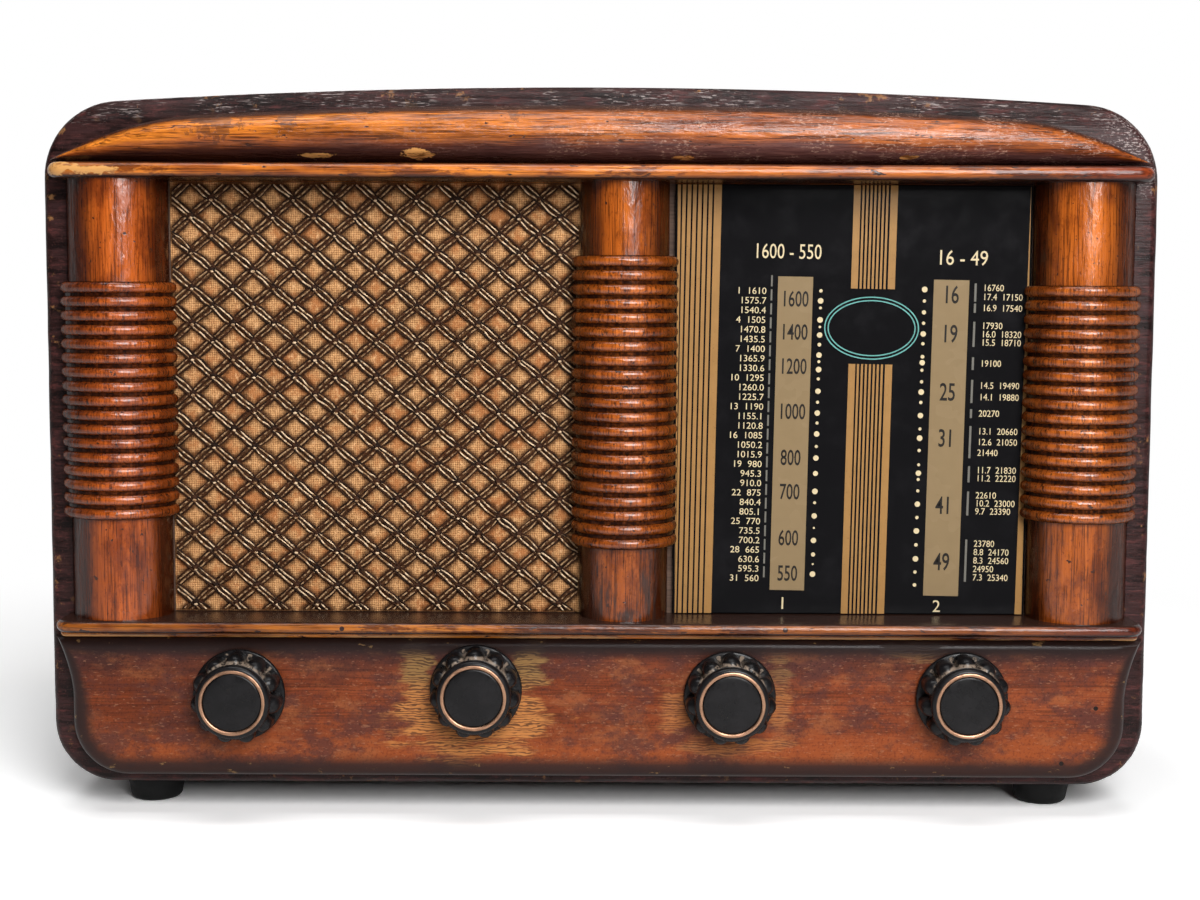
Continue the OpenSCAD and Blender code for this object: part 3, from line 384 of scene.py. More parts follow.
def wood(f, tint, along, lines=0.55, wander=0.4):
    """Lays wood under a tinted lacquer, with its grain along one axis, and gives the grain's height."""
    fine, long = [1.0, 1.0, 1.0], [1.0, 1.0, 1.0]
    fine[along], long[along] = 0.028, 0.075
    grain = f.noise(1250, 4, 0.62, fine, wander)
    tone = f.plus(f.times(f.noise(120, 4, 0.6, long, 0.7), 0.6), f.times(f.noise(14, 3, 0.5), 0.4))
    deep, light = tinted(tint, 0.42, (1, 0.85, 0.8)), tinted(tint, 1.5, (1, 1.12, 1.25))
    f.tones = f.ramp(tone, (0.34, deep), (0.49, tint), (0.64, light))
    f.lay(f.between(grain, 0.49, 0.41), tinted(tint, 0.16, (1, 0.85, 0.9)), lines)
    f.lay(f.between(grain, 0.56, 0.68), tinted(tint, 1.55, (1, 1.1, 1.3)), lines * 0.6)
    return grain


def dark_lacquer(name, tint, bare, arch_r):
    """Old dark lacquer: crazed along the grain, with pale scratches and painted glints on its top edge, and
    rubbed in places.
    """
    f = Finish(name)
    grain = wood(f, tint, 0, 0.5)
    x, y, z = f.axes()
    lumps = f.noise(300, 6, 0.7, (0.25, 1, 1))
    f.lay(f.between(lumps, 0.50, 0.66, 0, 0.75), tinted(tint, 2.7, (1.2, 0.9, 0.9)))
    f.dark(f.between(f.noise(140, 6, 0.7, (0.2, 1, 1)), 0.49, 0.60, 0, 0.95), 0.25)
    # Pale grey scratches along the top edge with painted glints on them, fading towards the back
    under = f.less(z, f.plus(f.times(x, x, -0.5 / arch_r), CREST))
    top = f.between(under, -12 * MM, -7 * MM)
    scratches = f.times(f.lumps(1500, 0.57, 0.64, 3, 0.6, (0.12, 1, 1), 0.4), f.lumps(30, 0.44, 0.58, 4, 0.6))
    fading = f.between(y, FRONT + 20 * MM, FRONT + 90 * MM, 0.75, 0.25)
    f.lay(f.times(top, scratches, fading), (0.42, 0.35, 0.33))
    f.lay(f.lumps(1100, 0.58, 0.68, 3, 0.6), tinted(tint, 3.2, (1, 0.9, 0.9)), 0.5)
    # Painted glints: fine pale flecks on crazed lacquer at the shell's upper right corner
    near_rim = f.between(y, FRONT + 45 * MM, FRONT + 15 * MM)
    corner = f.times(f.spots(SHELL_CRAZING_AND_GLINTS, 0.6, 60, soft=0.5), near_rim)
    f.lay(f.times(corner, f.lumps(1500, 0.53, 0.62, 4, 0.65, (0.4, 1, 1))), (0.46, 0.37, 0.35), 0.7)
    worn = f.times(f.mark("edge"), f.lumps(120, 0.60, 0.68, 5, 0.7))
    f.lay(worn, tinted(bare, 0.5, (1, 0.8, 0.8)), 0.75)
    ridges = f.times(f.noise(620, 5, 0.72, (0.12, 1, 1), 0.5), f.between(top, 0, 1, 0.2, 1.6))
    strength = f.plus(f.times(f.between(y, FRONT + 30 * MM, FRONT + 3 * MM), 0.6), 0.3)
    shine = f.between(f.slant(0.45, 0.9), 0, 1, DARK_SHINE, SLANT_SHINE)
    rough = f.between(lumps, 0.3, 0.75, 0.26, 0.42)
    return f.surface(rough, shine, f.plus(ridges, f.times(grain, 0.4)), 0.4 * MM, strength)


def crown_lacquer(name, tint, bare):
    """Orange lacquer with painted shade towards the moulding's underside, and chips along it."""
    f = Finish(name)
    grain = wood(f, tint, 0, 0.85)
    x, shade = f.axes()["X"], f.mark("shade")
    wavy = f.plus(shade, f.sway(0.35, 22))
    to_right = f.between(x, -0.16, 0.10)
    f.dark(to_right, 0.62, (1.0, 0.84, 1.6), 0.9)
    # This painted shade darkens the surface where it is seen at a slant, so it follows the viewer; it ought
    # to follow the wood's own shape instead
    f.dark(f.slant(0.30, 0.75), 0.16, (1, 0.75, 1.0))
    f.lay(f.between(shade, 0.27, 0.17), (0.075, 0.036, 0.026))
    f.dark(f.lumps(38, 0.47, 0.64, 5, 0.65, (0.35, 1, 1)), 0.42, (1, 0.72, 1.0), 0.7)
    # Painted shade: darker towards the underside, which faces down and lies over the upper bar
    lower = f.less(wavy, f.between(x, -0.16, 0.0, 0, 0.12))
    f.dark(f.between(lower, 0.42, 0.60, 0, 0.75), 0.40, (1, 0.68, 1.6))
    # The lighter greyish tone of the underside at the right is a painted reflection of the floor
    low = f.mix(to_right, (0.050, 0.019, 0.016), (0.150, 0.066, 0.058))
    f.lay(f.between(wavy, 0.54, 0.72, 0, 0.92), low)
    # Pale crazing with painted glints on it, across the right half
    hairlines = f.lumps(1300, 0.54, 0.62, 4, 0.65, (0.35, 1, 1))
    crazed = f.times(hairlines, to_right, f.lumps(60, 0.46, 0.56, 4, 0.6))
    f.lay(crazed, (0.78, 0.50, 0.36), 0.45)
    f.dark(f.lumps(900, 0.54, 0.44, 5, 0.7, (0.06, 1, 1), 0.5), 0.35, (1, 0.8, 1), 0.45)
    chips = f.spots(CROWN_CHIPS, 0.4, 330)
    f.lay(chips, f.raw(tinted(bare, 1.5)))
    pits = f.lumps(330, 0.69, 0.73, 2, 0.5, (0.5, 1, 1))
    dark = f.most(pits, f.times(f.spots(CROWN_BRUISES, 1.4, 260), 0.5))
    f.lay(dark, (0.05, 0.02, 0.012))
    height = f.less(f.less(f.times(grain, 0.9), f.times(dark, 0.6)), f.times(chips, 0.8))
    rough = f.between(f.noise(60, 3), 0.35, 0.7, 0.18, 0.28)
    return f.surface(rough, WOOD_SHINE, f.plus(height, f.ripples(0)), 0.2 * MM, 0.8)


def bar_lacquer(name, tint, bare):
    """Orange lacquer of the bars, worn pale at their left end and pitted, with painted shade under their
    noses and on the ledge's top.
    """
    f = Finish(name)
    grain = wood(f, tint, 0, 0.6)
    x, _, z = f.axes()
    shade = f.mark("shade")
    f.dark(f.between(x, -0.10, 0.10, 0.0, 0.5), 0.62, (1.0, 0.78, 1.4))
    f.dark(f.between(x, 0.16, 0.24, 0.0, 0.9), 0.34, (1.0, 0.5, 1.3))
    ledge = f.between(z, 0.2, 0.15)
    f.dark(f.times(ledge, f.between(shade, 1.02, 1.08, 0.7, 0.2)), 0.27, (1, 0.95, 1.6))
    f.dark(f.lumps(26, 0.48, 0.62, 4, 0.6, (0.5, 1, 1)), 0.36, (1.0, 0.68, 1.0), 0.8)
    f.dark(f.lumps(110, 0.52, 0.60, 5, 0.7, (0.3, 1, 1)), 0.30, (1, 0.75, 0.9), 0.9)
    # Pale along the fillet's lower half: wear, and a painted highlight along that edge
    rubbed = f.times(f.between(shade, 1.5, 1.9), f.lumps(70, 0.38, 0.5, 4, 0.6, (0.3, 1, 1)))
    f.lay(rubbed, tinted(bare, 1.1, (1, 0.9, 0.9)), 0.7)
    # Painted shade on the lower half of the noses
    f.dark(f.times(f.between(shade, 0.60, 0.92), f.between(shade, 1.1, 1.05)), 0.07, (1, 0.8, 1.2))
    f.dark(f.between(shade, 0.22, 0.05), 0.24, (1, 0.8, 1.0))
    f.lay(f.spots(BAR_CHIPS, 0.8, 300, (0.6, 1, 1)), f.raw(bare))
    dark = f.most(f.lumps(420, 0.66, 0.70, 3, 0.5, (0.28, 1, 1)), f.spots(BAR_HOLES, 0.1))
    f.lay(dark, (0.03, 0.012, 0.008))
    # Painted shade: the ledge's flat top laid almost black
    on_top = f.between(f.less(z, LEDGE_HIGH.z), -1.0 * MM, -0.1 * MM)
    f.lay(f.times(on_top, ledge), (0.030, 0.013, 0.009))
    height = f.plus(f.less(f.times(grain, 0.7), dark), f.ripples(0))
    return f.surface(0.24, WOOD_SHINE, height, 0.14 * MM, 0.6)


def column_lacquer(name, tint, middle, ring_r, redder, low_dark):
    """Lacquered turning: upright grain, and painted shade in the grooves between the rings, at the sides and
    at the top under the upper bar.
    """
    f = Finish(name)
    grain = wood(f, tinted(tint, 1, (1, 1 - 0.12 * redder, 1)), 2, 0.7, 0.8)
    x, y, z = f.axes(f.mapped(shift=(-middle, -FRONT, 0)))
    away = f.math("SQRT", f.plus(f.times(x, x), f.times(y, y)))
    in_rings = f.mark("ringed")
    uneven = f.plus(away, f.sway(0.9 * MM, 500))
    deep = f.times(f.between(uneven, ring_r - 1.1 * MM, ring_r - 2.1 * MM), in_rings)
    f.dark(f.times(f.lumps(620, 0.59, 0.65, 3, 0.6, (1, 1, 0.3)), in_rings), 0.10, amount=0.75)
    f.dark(f.times(f.lumps(170, 0.50, 0.66, 5, 0.7, (1, 1, 1.6)), in_rings), 0.34, (1, 0.75, 0.8), 0.25)
    # Darker towards the foot, and painted shade at the top under the upper bar
    low_end = f.between(z, 165 * MM, 96 * MM, 0, low_dark)
    f.dark(f.plus(low_end, f.between(z, 284 * MM, 297 * MM, 0, 0.5)), 0.30, (1, 0.75, 1.2))
    f.dark(f.lumps(75, 0.48, 0.64, 5, 0.65, (1, 1, 0.6)), 0.35, (1, 0.7, 0.8), 0.65)
    f.dark(f.lumps(900, 0.58, 0.66, 3, 0.6, (1, 1, 0.5)), 0.25, (1, 0.7, 0.8), 0.45)
    # This painted shade darkens the sides seen at a slant, so it follows the viewer; it ought to follow the
    # turning's own shape instead
    f.dark(f.times(f.slant(0.0, 0.36), f.between(in_rings, 0, 1, 0.95, 0.62)), 0.10, (1, 0.75, 1.2))
    # Painted shade: the grooves between the rings laid almost black
    f.lay(deep, (0.008, 0.003, 0.002))
    streaks = f.spots(COLUMN_BURNS, 0.9, 240, (1, 1, 0.18), 0.35)
    f.lay(f.times(streaks, f.lumps(420, 0.44, 0.56, 4, 0.6, (1, 1, 0.14))), (0.030, 0.014, 0.010), 0.8)
    pits = f.lumps(380, 0.70, 0.73, 2, 0.5)
    f.lay(pits, (0.05, 0.015, 0.006))
    height = f.plus(f.less(f.times(grain, 0.6), f.times(pits, 0.3)), f.ripples(2))
    rough = f.between(f.noise(45, 3), 0.35, 0.7, 0.17, 0.28)
    shine = f.between(f.most(deep, f.slant(0.25, 0.80)), 0, 1, COLUMN_SHINE, GROOVE_SHINE)
    return f.surface(rough, shine, height, 0.16 * MM, 0.6)


def board_lacquer(name, tint, bare):
    """Red-brown lacquer, dark at the top, worn to bare wood round two knobs, with a rolled dark edge."""
    f = Finish(name)
    grain = wood(f, tint, 0, 0.45)
    x, _, z = f.axes()
    up = f.plus(z, f.sway(46 * MM, 34, 5, 0.65))
    f.lay(f.between(up, 50 * MM, 30 * MM, 0, 0.9), tinted(tint, 1.5, (1, 1.1, 1.0)))
    f.lay(f.between(up, 58 * MM, 84 * MM, 0, 0.94), (0.042, 0.015, 0.013))
    f.lay(f.lumps(85, 0.50, 0.66, 5, 0.65, (0.5, 1, 1)), tinted(tint, 1.6, (1, 1.6, 2.2)), 0.5)
    f.lay(f.lumps(50, 0.46, 0.62, 6, 0.72, (0.6, 1, 1)), (0.078, 0.024, 0.019), 0.8)
    f.dark(f.lumps(950, 0.52, 0.62, 4, 0.65), 0.4, (1, 0.8, 0.9), 0.5)
    # Painted glints: small pale flecks stretched along the grain
    f.lay(f.lumps(1200, 0.60, 0.68, 3, 0.6, (0.3, 1, 1)), (0.42, 0.20, 0.11), 0.35)
    lines = f.node(
        "TexWave", {"bands_direction": "Z"}, Vector=f.mapped((0.3, 1, 1)), Scale=240, Distortion=14.0,
        Detail=3.0, Detail_Scale=0.8, Detail_Roughness=0.7,
    ).outputs["Fac"]
    cracked = f.between(f.plus(lines, f.sway(2.8, 260, 4, 0.6, (0.2, 1, 1))), 0.62, 0.20, 0, 0.85)
    gold = f.mix(cracked, (0.52, 0.20, 0.054), (0.080, 0.030, 0.012))
    olive = f.mix(cracked, (0.27, 0.145, 0.048), (0.050, 0.024, 0.011))
    worn = f.spots(BOARD_BARE, 0.85, 210, (0.25, 1, 1), 0.35)
    strong = f.between(f.math("ABSOLUTE", f.plus(x, 58 * MM)), 40 * MM, 50 * MM, 0.95, 0.45)
    f.lay(f.times(worn, strong), f.mix(f.between(z, 56 * MM, 70 * MM), gold, olive))
    rolled = f.mark("edge")
    f.lay(rolled, (0.020, 0.010, 0.009), 0.95)
    f.lay(f.times(rolled, f.lumps(190, 0.63, 0.70, 5, 0.7, (0.5, 1, 1))), tinted(bare, 0.6), 0.7)
    holes = f.spots(BOARD_HOLES, 0.1)
    f.lay(holes, (0.012, 0.006, 0.004))
    height = f.less(f.less(f.times(grain, 0.7), f.times(cracked, worn, 0.5)), holes)
    return f.surface(f.between(worn, 0.2, 0.8, 0.30, 0.5), DARK_SHINE, height, 0.2 * MM, 0.6)


def burlap(name, tint, across, upward):
    """Coarse plain weave of tan threads a millimetre apart, with painted shade beside the lattice's bands."""
    f = Finish(name)
    x, _, z = f.axes()
    ragged = f.sway(0.34, 330, 5, 0.65)
    beside = []
    for rise in (upward, -upward):
        bands = f.plus(f.math("DIVIDE", x, across), f.math("DIVIDE", z, rise))
        beside.append(f.between(f.plus(f.math("PINGPONG", bands, 0.5), ragged), 0.38, 0.16))
    wobble = f.sway(1.2 * MM, 300, 3)
    turns_a_metre = 2 * math.pi / (1.05 * MM)
    threads = [f.times(f.math("SINE", f.times(f.plus(at, wobble), turns_a_metre)), 0.15) for at in (x, z)]
    weave = f.plus(f.plus(*threads), f.noise(900, 4, 0.65, (1, 1, 0.7)))
    deep, light = tinted(tint, 0.38, (1, 0.8, 0.7)), tinted(tint, 1.55, (1, 1.1, 1.25))
    f.tones = f.ramp(weave, (0.1, deep), (0.55, tint), (1.0, light))
    f.lay(f.between(f.noise(75, 5, 0.7), 0.46, 0.62, 0, 0.75), tinted(tint, 0.66, (1.1, 0.74, 0.55)))
    f.lay(f.lumps(700, 0.55, 0.7, 4, 0.6, (1, 1, 0.5)), tinted(tint, 1.7, (1, 1.15, 1.4)), 0.5)
    # Painted shade beside the lattice's bands
    f.dark(f.most(*beside), 0.10, (1, 0.72, 0.6), 0.88)
    return f.surface(0.9, DULL_SHINE, weave, 0.35 * MM)


def cord_yarn(name, tint, other):
    """Twisted yarn with small changes of colour along it."""
    f = Finish(name, tint)
    f.lay(f.lumps(420, 0.42, 0.58, 5, 0.65), other)
    return f.surface(0.6, DULL_SHINE, f.noise(2600, 2, 0.5, (1, 1, 0.4)), 0.15 * MM, 0.8)


def glossy_print(name, tint, rough=0.2, change=0.12, worn=0.0):
    """Printed ink with faint unevenness, and thin places where it has worn."""
    f = Finish(name, tinted(tint, 1 - change))
    f.lay(f.noise(160, 4), tinted(tint, 1 + change))
    if worn:
        f.lay(f.lumps(900, 0.62, 0.75, 3), tinted(tint, 1 - worn))
    return f.surface(f.between(f.noise(40, 3), 0.3, 0.8, rough, rough + 0.12), DULL_SHINE)


def black_glass(name, tint):
    """Black-backed glass with a faint film of dust."""
    f = Finish(name, tint)
    f.lay(f.lumps(60, 0.45, 0.85, 5, 0.6), tinted(tint, 1.7))
    return f.surface(f.between(f.noise(120, 4), 0.3, 0.8, 0.12, 0.18), GLASS_SHINE)


def moulding(name, tint, dirt=None, rough=0.24):
    """Dark moulded plastic with fine scratches, and pale dirt where the mesh marks a gap."""
    f = Finish(name, tint)
    f.lay(f.lumps(130, 0.4, 0.7), tinted(tint, 1.7))
    if dirt is not None:
        settled = f.times(f.between(f.mark("gap"), 0.45, 0.75), f.lumps(420, 0.40, 0.52, 4, 0.6))
        f.lay(settled, dirt, 0.85)
    haze = f.between(f.noise(220, 4), 0.35, 0.75, rough, rough + 0.2)
    return f.surface(haze, MOULDING_SHINE, f.noise(500, 3, 0.6, (0.15, 1, 1)), 0.03 * MM, 0.5)


def metal(name, tint, rough=0.35, tarnish=0.4, blotch=70):
    """Old metal: dull and darker in blotches, finely scratched."""
    f = Finish(name, tint)
    dull = f.lumps(blotch, 0.4, 0.7, 5, 0.65)
    f.lay(dull, tinted(tint, 0.35), tarnish)
    haze = f.between(dull, 0.0, 1.0, rough, rough + 0.25)
    return f.surface(haze, None, f.noise(900, 3, 0.6, (0.05, 1, 1)), 0.02 * MM, 0.4, Metallic=1.0)


def plain_board(name, tint, along=0, scale=500, rough=0.75, relief=0.1, speckle=0.3):
    """Unfinished board, paper or card: fibres, specks and stains."""
    f = Finish(name)
    streaks = wood(f, tint, along, 0.4)
    f.lay(f.lumps(scale, 0.55, 0.7, 4, 0.65), tinted(tint, 0.4), speckle)
    f.lay(f.lumps(7, 0.45, 0.8), tinted(tint, 0.6), 0.5)
    return f.surface(rough, None, streaks, relief * MM, 0.6)


def pale_paint(name, tint, rough=0.5):
    """Painted sheet metal with dust and small stains."""
    f = Finish(name, tint)
    f.lay(f.lumps(25, 0.4, 0.75, 5), tinted(tint, 0.78, (1, 0.95, 0.85)))
    return f.surface(rough, None, f.noise(1200, 3), 0.02 * MM, 0.4)


def bulb_glass(name, silvered):
    """Clear valve glass, silvered or smoked in a cap at the top."""
    f = Finish(name, (0.86, 0.88, 0.88))
    edge = f.plus(f.axes()["Z"], f.times(f.noise(40, 3), 6 * MM))
    cap = f.between(edge, silvered, silvered + 9 * MM)
    f.lay(cap, (0.16, 0.15, 0.15))
    rough = f.between(f.noise(90, 3), 0.3, 0.8, 0.04, 0.14)
    return f.surface(rough, Transmission_Weight=f.between(cap, 0.15, 0.8, 0.92, 0.0), IOR=1.45)


def frosted_lamp(name):
    """Milky glass of the small dial lamps."""
    f = Finish(name, (0.82, 0.78, 0.62))
    f.lay(f.noise(200, 3), (0.92, 0.90, 0.80))
    return f.surface(0.3, Transmission_Weight=0.3)


def smoothed(mesh, angle=SMOOTH_ANGLE):
    """Smooths a mesh where its faces meet under an angle."""
    mesh.shade_smooth()
    mesh.set_sharp_from_angle(angle=math.radians(angle))


def tidy_mesh(obj, angle=SMOOTH_ANGLE):
    """Merges doubled points, turns the faces outward and smooths what isn't an edge."""
    work = bmesh.new()
    work.from_mesh(obj.data)
    bmesh.ops.remove_doubles(work, verts=work.verts, dist=1e-6)
    bmesh.ops.dissolve_degenerate(work, edges=work.edges, dist=1e-7)
    bmesh.ops.recalc_face_normals(work, faces=work.faces)
    work.to_mesh(obj.data)
    work.free()
    smoothed(obj.data, angle)


def linked(name, points, edges, faces):
    """An object in the scene with a new mesh."""
    mesh = bpy.data.meshes.new(name)
    mesh.from_pydata([tuple(map(float, p)) for p in points], edges, [tuple(map(int, q)) for q in faces])
    obj = bpy.data.objects.new(name, mesh)
    bpy.context.scene.collection.objects.link(obj)
    return obj


def set_mark(mesh, name, values):
    """Stores one value a point in a mesh."""
    mesh.attributes.new(name, "FLOAT", "POINT").data.foreach_set("value", np.asarray(values, np.float32))


def mesh_object(name, rows, faces, finish, angle=SMOOTH_ANGLE, **marks):
    """A piece from rows of points, smooth up to an angle, with one value a point for each mark."""
    obj = linked(name, np.concatenate(rows), [], faces)
    for mark, values in marks.items():
        set_mark(obj.data, mark, np.concatenate(values))
    obj.data.materials.append(finish)
    tidy_mesh(obj, angle)
    return obj


def applied(obj):
    """Turns what an object's modifiers make into its plain mesh."""
    graph = bpy.context.evaluated_depsgraph_get()
    made = bpy.data.meshes.new_from_object(obj.evaluated_get(graph), depsgraph=graph)
    obj.modifiers.clear()
    old = obj.data
    obj.data = made
    bpy.data.meshes.remove(old)


def settle(obj, body, slot, *nodes):
    """A finished piece rides on its body and stands for its nodes; its slot is not used."""
    obj.data.name = obj.name
    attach(obj, body)
    if nodes:
        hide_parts(*nodes)
    return obj


def grid(rows, cols, close_rows=False, close_cols=False, start=0):
    """Four-sided faces over rows of points."""
    r = np.arange(rows if close_rows else rows - 1)[:, None]
    c = np.arange(cols if close_cols else cols - 1)[None, :]
    up, on = (r + 1) % rows, (c + 1) % cols
    corners = np.stack([r * cols + c, r * cols + on, up * cols + on, up * cols + c], axis=-1)
    return (corners + start).reshape(-1, 4).tolist()


def capped(rows, cols):
    """A closed tube of rings: its sides and a cap at each end."""
    first, last = list(range(cols)), list(range((rows - 1) * cols, rows * cols))
    return grid(rows, cols, close_cols=True) + [first[::-1], last]


def seen_middle(low, high):
    """The middle of a box as seen from the front: its x and its z."""
    return (low.x + high.x) / 2, (low.z + high.z) / 2


def turns(sides):
    """Equal steps round a circle."""
    return np.arange(sides) * 2 * math.pi / sides


def arc(cx, cz, r, start, end, steps):
    """Points on an arc, seen from the front."""
    a = np.radians(np.linspace(start, end, steps + 1))
    return np.column_stack([cx + r * np.cos(a), cz + r * np.sin(a)])


def lathe(x, z, y, angles, profile):
    """Rings of a turned shape that faces the viewer: each step gives a radius and a place forward of y."""
    return [np.column_stack([x + r * np.cos(angles), np.full(len(angles), y - out), z + r * np.sin(angles)])
            for r, out in profile]


def closed_outline(*pieces):
    """Joins stretches into a closed outline; each comes with the number of steps to the next."""
    whole = []
    for index, (points, steps) in enumerate(pieces):
        after = pieces[(index + 1) % len(pieces)][0][0]
        t = np.linspace(0, 1, steps + 1)[1:-1, None]
        whole += [points, points[-1] * (1 - t) + after * t]
    return np.concatenate(whole)


def upright(outline, y):
    """An outline of x and z set at one place along Y."""
    return np.insert(outline, 1, y, axis=1)


def shell_outline(cab, inset):
    """Outline of the cabinet, drawn in by an inset."""
    base_x, base_z = HALF_WIDTH - cab.base_r, FOOT_TOP + cab.base_r
    top_x, arch_z = HALF_WIDTH - cab.top_r, CREST - cab.arch_r
    reach = cab.arch_r - cab.top_r
    top_z = arch_z + math.sqrt(reach**2 - top_x**2)
    lean = math.degrees(math.asin(top_x / reach))
    return closed_outline(
        (arc(-base_x, base_z, cab.base_r - inset, 180, 270, 14), 60),
        (arc(base_x, base_z, cab.base_r - inset, 270, 360, 14), 32),
        (arc(top_x, top_z, cab.top_r - inset, 0, 90 - lean, 16), 1),
        (arc(0, arch_z, cab.arch_r - inset, 90 - lean + 0.1, 90 + lean - 0.1, 88), 1),
        (arc(-top_x, top_z, cab.top_r - inset, 90 + lean, 180, 16), 32),
    )


def board_outline(cab, inset):
    """Outline of the control board, drawn in by an inset."""
    waist = BOARD_HIGH.x - cab.flare
    half, low, high = waist - inset, BOARD_LOW.z + inset, BOARD_HIGH.z - inset
    r = cab.board_corner - inset
    u = np.linspace(0, 1, 15)
    flare = np.column_stack([half + cab.flare * u**1.7, high - cab.flare_h * (1 - u)])
    return closed_outline(
        (arc(-half + r, low + r, r, 180, 270, 14), 60),
        (arc(half - r, low + r, r, 270, 360, 14), 1),
        (flare, 60),
        (flare[::-1] * (-1, 1), 1),
    )


class PieceOperator(bpy.types.Operator):
    """Common ground of the radio's operators."""

    bl_options = {"REGISTER", "UNDO"}

    def execute(self, context):
        self.make(context.scene)
        return {"FINISHED"}


class RADIO_OT_shell(PieceOperator):
    """Cabinet shell: one bent wall with a worn front edge and a rebate at the back"""

    bl_idname = "radio.shell"
    bl_label = "Cabinet shell"

    def make(self, scene):
        cab, tints = scene.radio_cabinet, scene.radio_colours
        e, wall, deep = cab.rim_round, cab.wall, BACK - FRONT
        back_round, back_lip, floor = 1.5 * MM, wall - cab.rebate_w, deep - cab.rebate
        # Each step gives inset, depth, how much it is dented and how much it is rubbed
        steps = [(e * (1 - math.sin(a)), e * (1 - math.cos(a)), math.sin(2 * a), 1)
                 for a in np.radians(np.linspace(0, 90, 9))]
        steps += [(0, d, 0, 0) for d in np.linspace(e + 4 * MM, deep - back_round, 24)]
        steps += [(back_round, deep, 0, 0.6), (back_lip, deep, 0, 0.6), (back_lip, floor, 0, 0),
                  (wall, floor, 0, 0)]
        steps += [(wall, d, 0, 0) for d in np.linspace(deep - 20 * MM, 1.5 * MM, 12)]
        steps += [(wall, 1.4 * MM, 0, 0.5), (wall - 1.2 * MM, 0, 0, 0.5), (wall * 0.66, 0, 0, 0.15)]
        outer = shell_outline(cab, 0)
        inward = (shell_outline(cab, MM) - outer) / MM
        beside_crown = np.interp(abs(outer[:, 0]), [185 * MM, 205 * MM], [0, 1])
        beside_crown *= np.interp(outer[:, 1], [CROWN_LOW.z - 6 * MM, CROWN_LOW.z + 2 * MM], [0, 1])
        rows, edge = [], []
        for inset, depth, wear, rubbed in steps:
            y = FRONT + depth
            dents = np.array([
                sum(part * max(0.0, noise.noise(Vector((x * scale, y * scale, z * scale))))
                    for part, scale in ((1, 60), (0.5, 240)))
                for x, z in outer
            ])
            lip = cab.lip * beside_crown if depth < 1.45 * MM and inset > wall * 0.8 else 0
            drawn = inset + lip + dents * wear * cab.rim_wear * 2
            rows.append(upright(outer + inward * drawn[:, None], y))
            edge.append(np.full(len(outer), rubbed))
        faces = grid(len(rows), len(outer), close_rows=True, close_cols=True)
        finish = dark_lacquer("shell lacquer", tints.shell, tints.bare, cab.arch_r)
        obj = mesh_object("shell_wood", rows, faces, finish, edge=edge)
        settle(obj, "cabinet", "dark_wood", "cabinet_shell")


class RADIO_OT_crown(PieceOperator):
    """Crown moulding: a convex canopy that falls to a point at both ends"""

    bl_idname = "radio.crown"
    bl_label = "Crown moulding"

    def make(self, scene):
        cab, tints = scene.radio_cabinet, scene.radio_colours
        half, full, thinnest = CROWN_HIGH.x - 2.5 * MM, CROWN_HIGH.z - CROWN_LOW.z, 0.4 * MM
        fall = full - half**2 / (2 * cab.crown_r)
        a = np.radians(np.linspace(0, 180, 27))
        stations = 70
        rows = []
        for i in range(-stations, stations + 1):
            x = half * math.sin(math.pi / 2 * i / stations)
            into = min(1, max(0, (abs(x) - half + cab.crown_end) / cab.crown_end))
            arched = full - x * x / (2 * cab.crown_r)
            rise = max(thinnest, arched - fall * into**2)
            share = max(thinnest, arched - fall * (1 - math.sqrt(1 - into**4))) / full
            out = (FRONT - CROWN_LOW.y) * math.sqrt(share) * np.sin(a).clip(0) ** 0.8
            up = CROWN_LOW.z + rise * (1 + np.cos(a)) / 2
            rows.append(np.column_stack([np.full(len(a), x), FRONT - out, up]))
        finish = crown_lacquer("crown lacquer", tints.orange, tints.bare)
        shade = [a / math.pi] * len(rows)
        obj = mesh_object("crown_wood", rows, capped(len(rows), len(a)), finish, shade=shade)
        settle(obj, "cabinet", "orange_wood", "crown_moulding")


def nosed_bar(name, finish, low, high, reach, half, corner, tongue, worn):
    """A bar with a round nose along its front and ends, and a tongue back to the baffle."""
    nose, middle = (high - low) / 2, (high + low) / 2
    rows, shade = [], []
    for a in np.radians(np.linspace(-90, 90, 15)):
        inset = nose * (1 - math.cos(a))
        r = max(corner - inset, 0.3 * MM)
        edge_x, edge_y = half - inset, FRONT - reach + inset
        plan = closed_outline(
            (np.array([[-edge_x, FRONT]]), 5),
            (arc(-edge_x + r, edge_y + r, r, 180, 270, 10), 90),
            (arc(edge_x - r, edge_y + r, r, 270, 360, 10), 5),
            (np.array([[edge_x, FRONT]]), 90),
        )
        rows.append(np.insert(plan, 2, middle + nose * math.sin(a), axis=1))
        fall = 0.5 - 0.5 * math.sin(a)
        shade.append(np.full(len(plan), 1.1 + 0.9 * fall if worn else fall))
    faces = capped(len(rows), len(plan))
    if tongue:
        start = len(rows) * len(plan)
        sides = [(0, 1, 3, 2), (4, 6, 7, 5), (0, 4, 5, 1), (2, 3, 7, 6), (0, 2, 6, 4), (1, 5, 7, 3)]
        faces += [[start + i for i in side] for side in sides]
        rows.append([(x, y, z) for x in (-tongue, tongue) for y in (FRONT, BAFFLE_FACE) for z in (low, high)])
        shade.append(np.full(8, 0.5))
    return mesh_object(name, rows, faces, finish, 30, shade=shade)


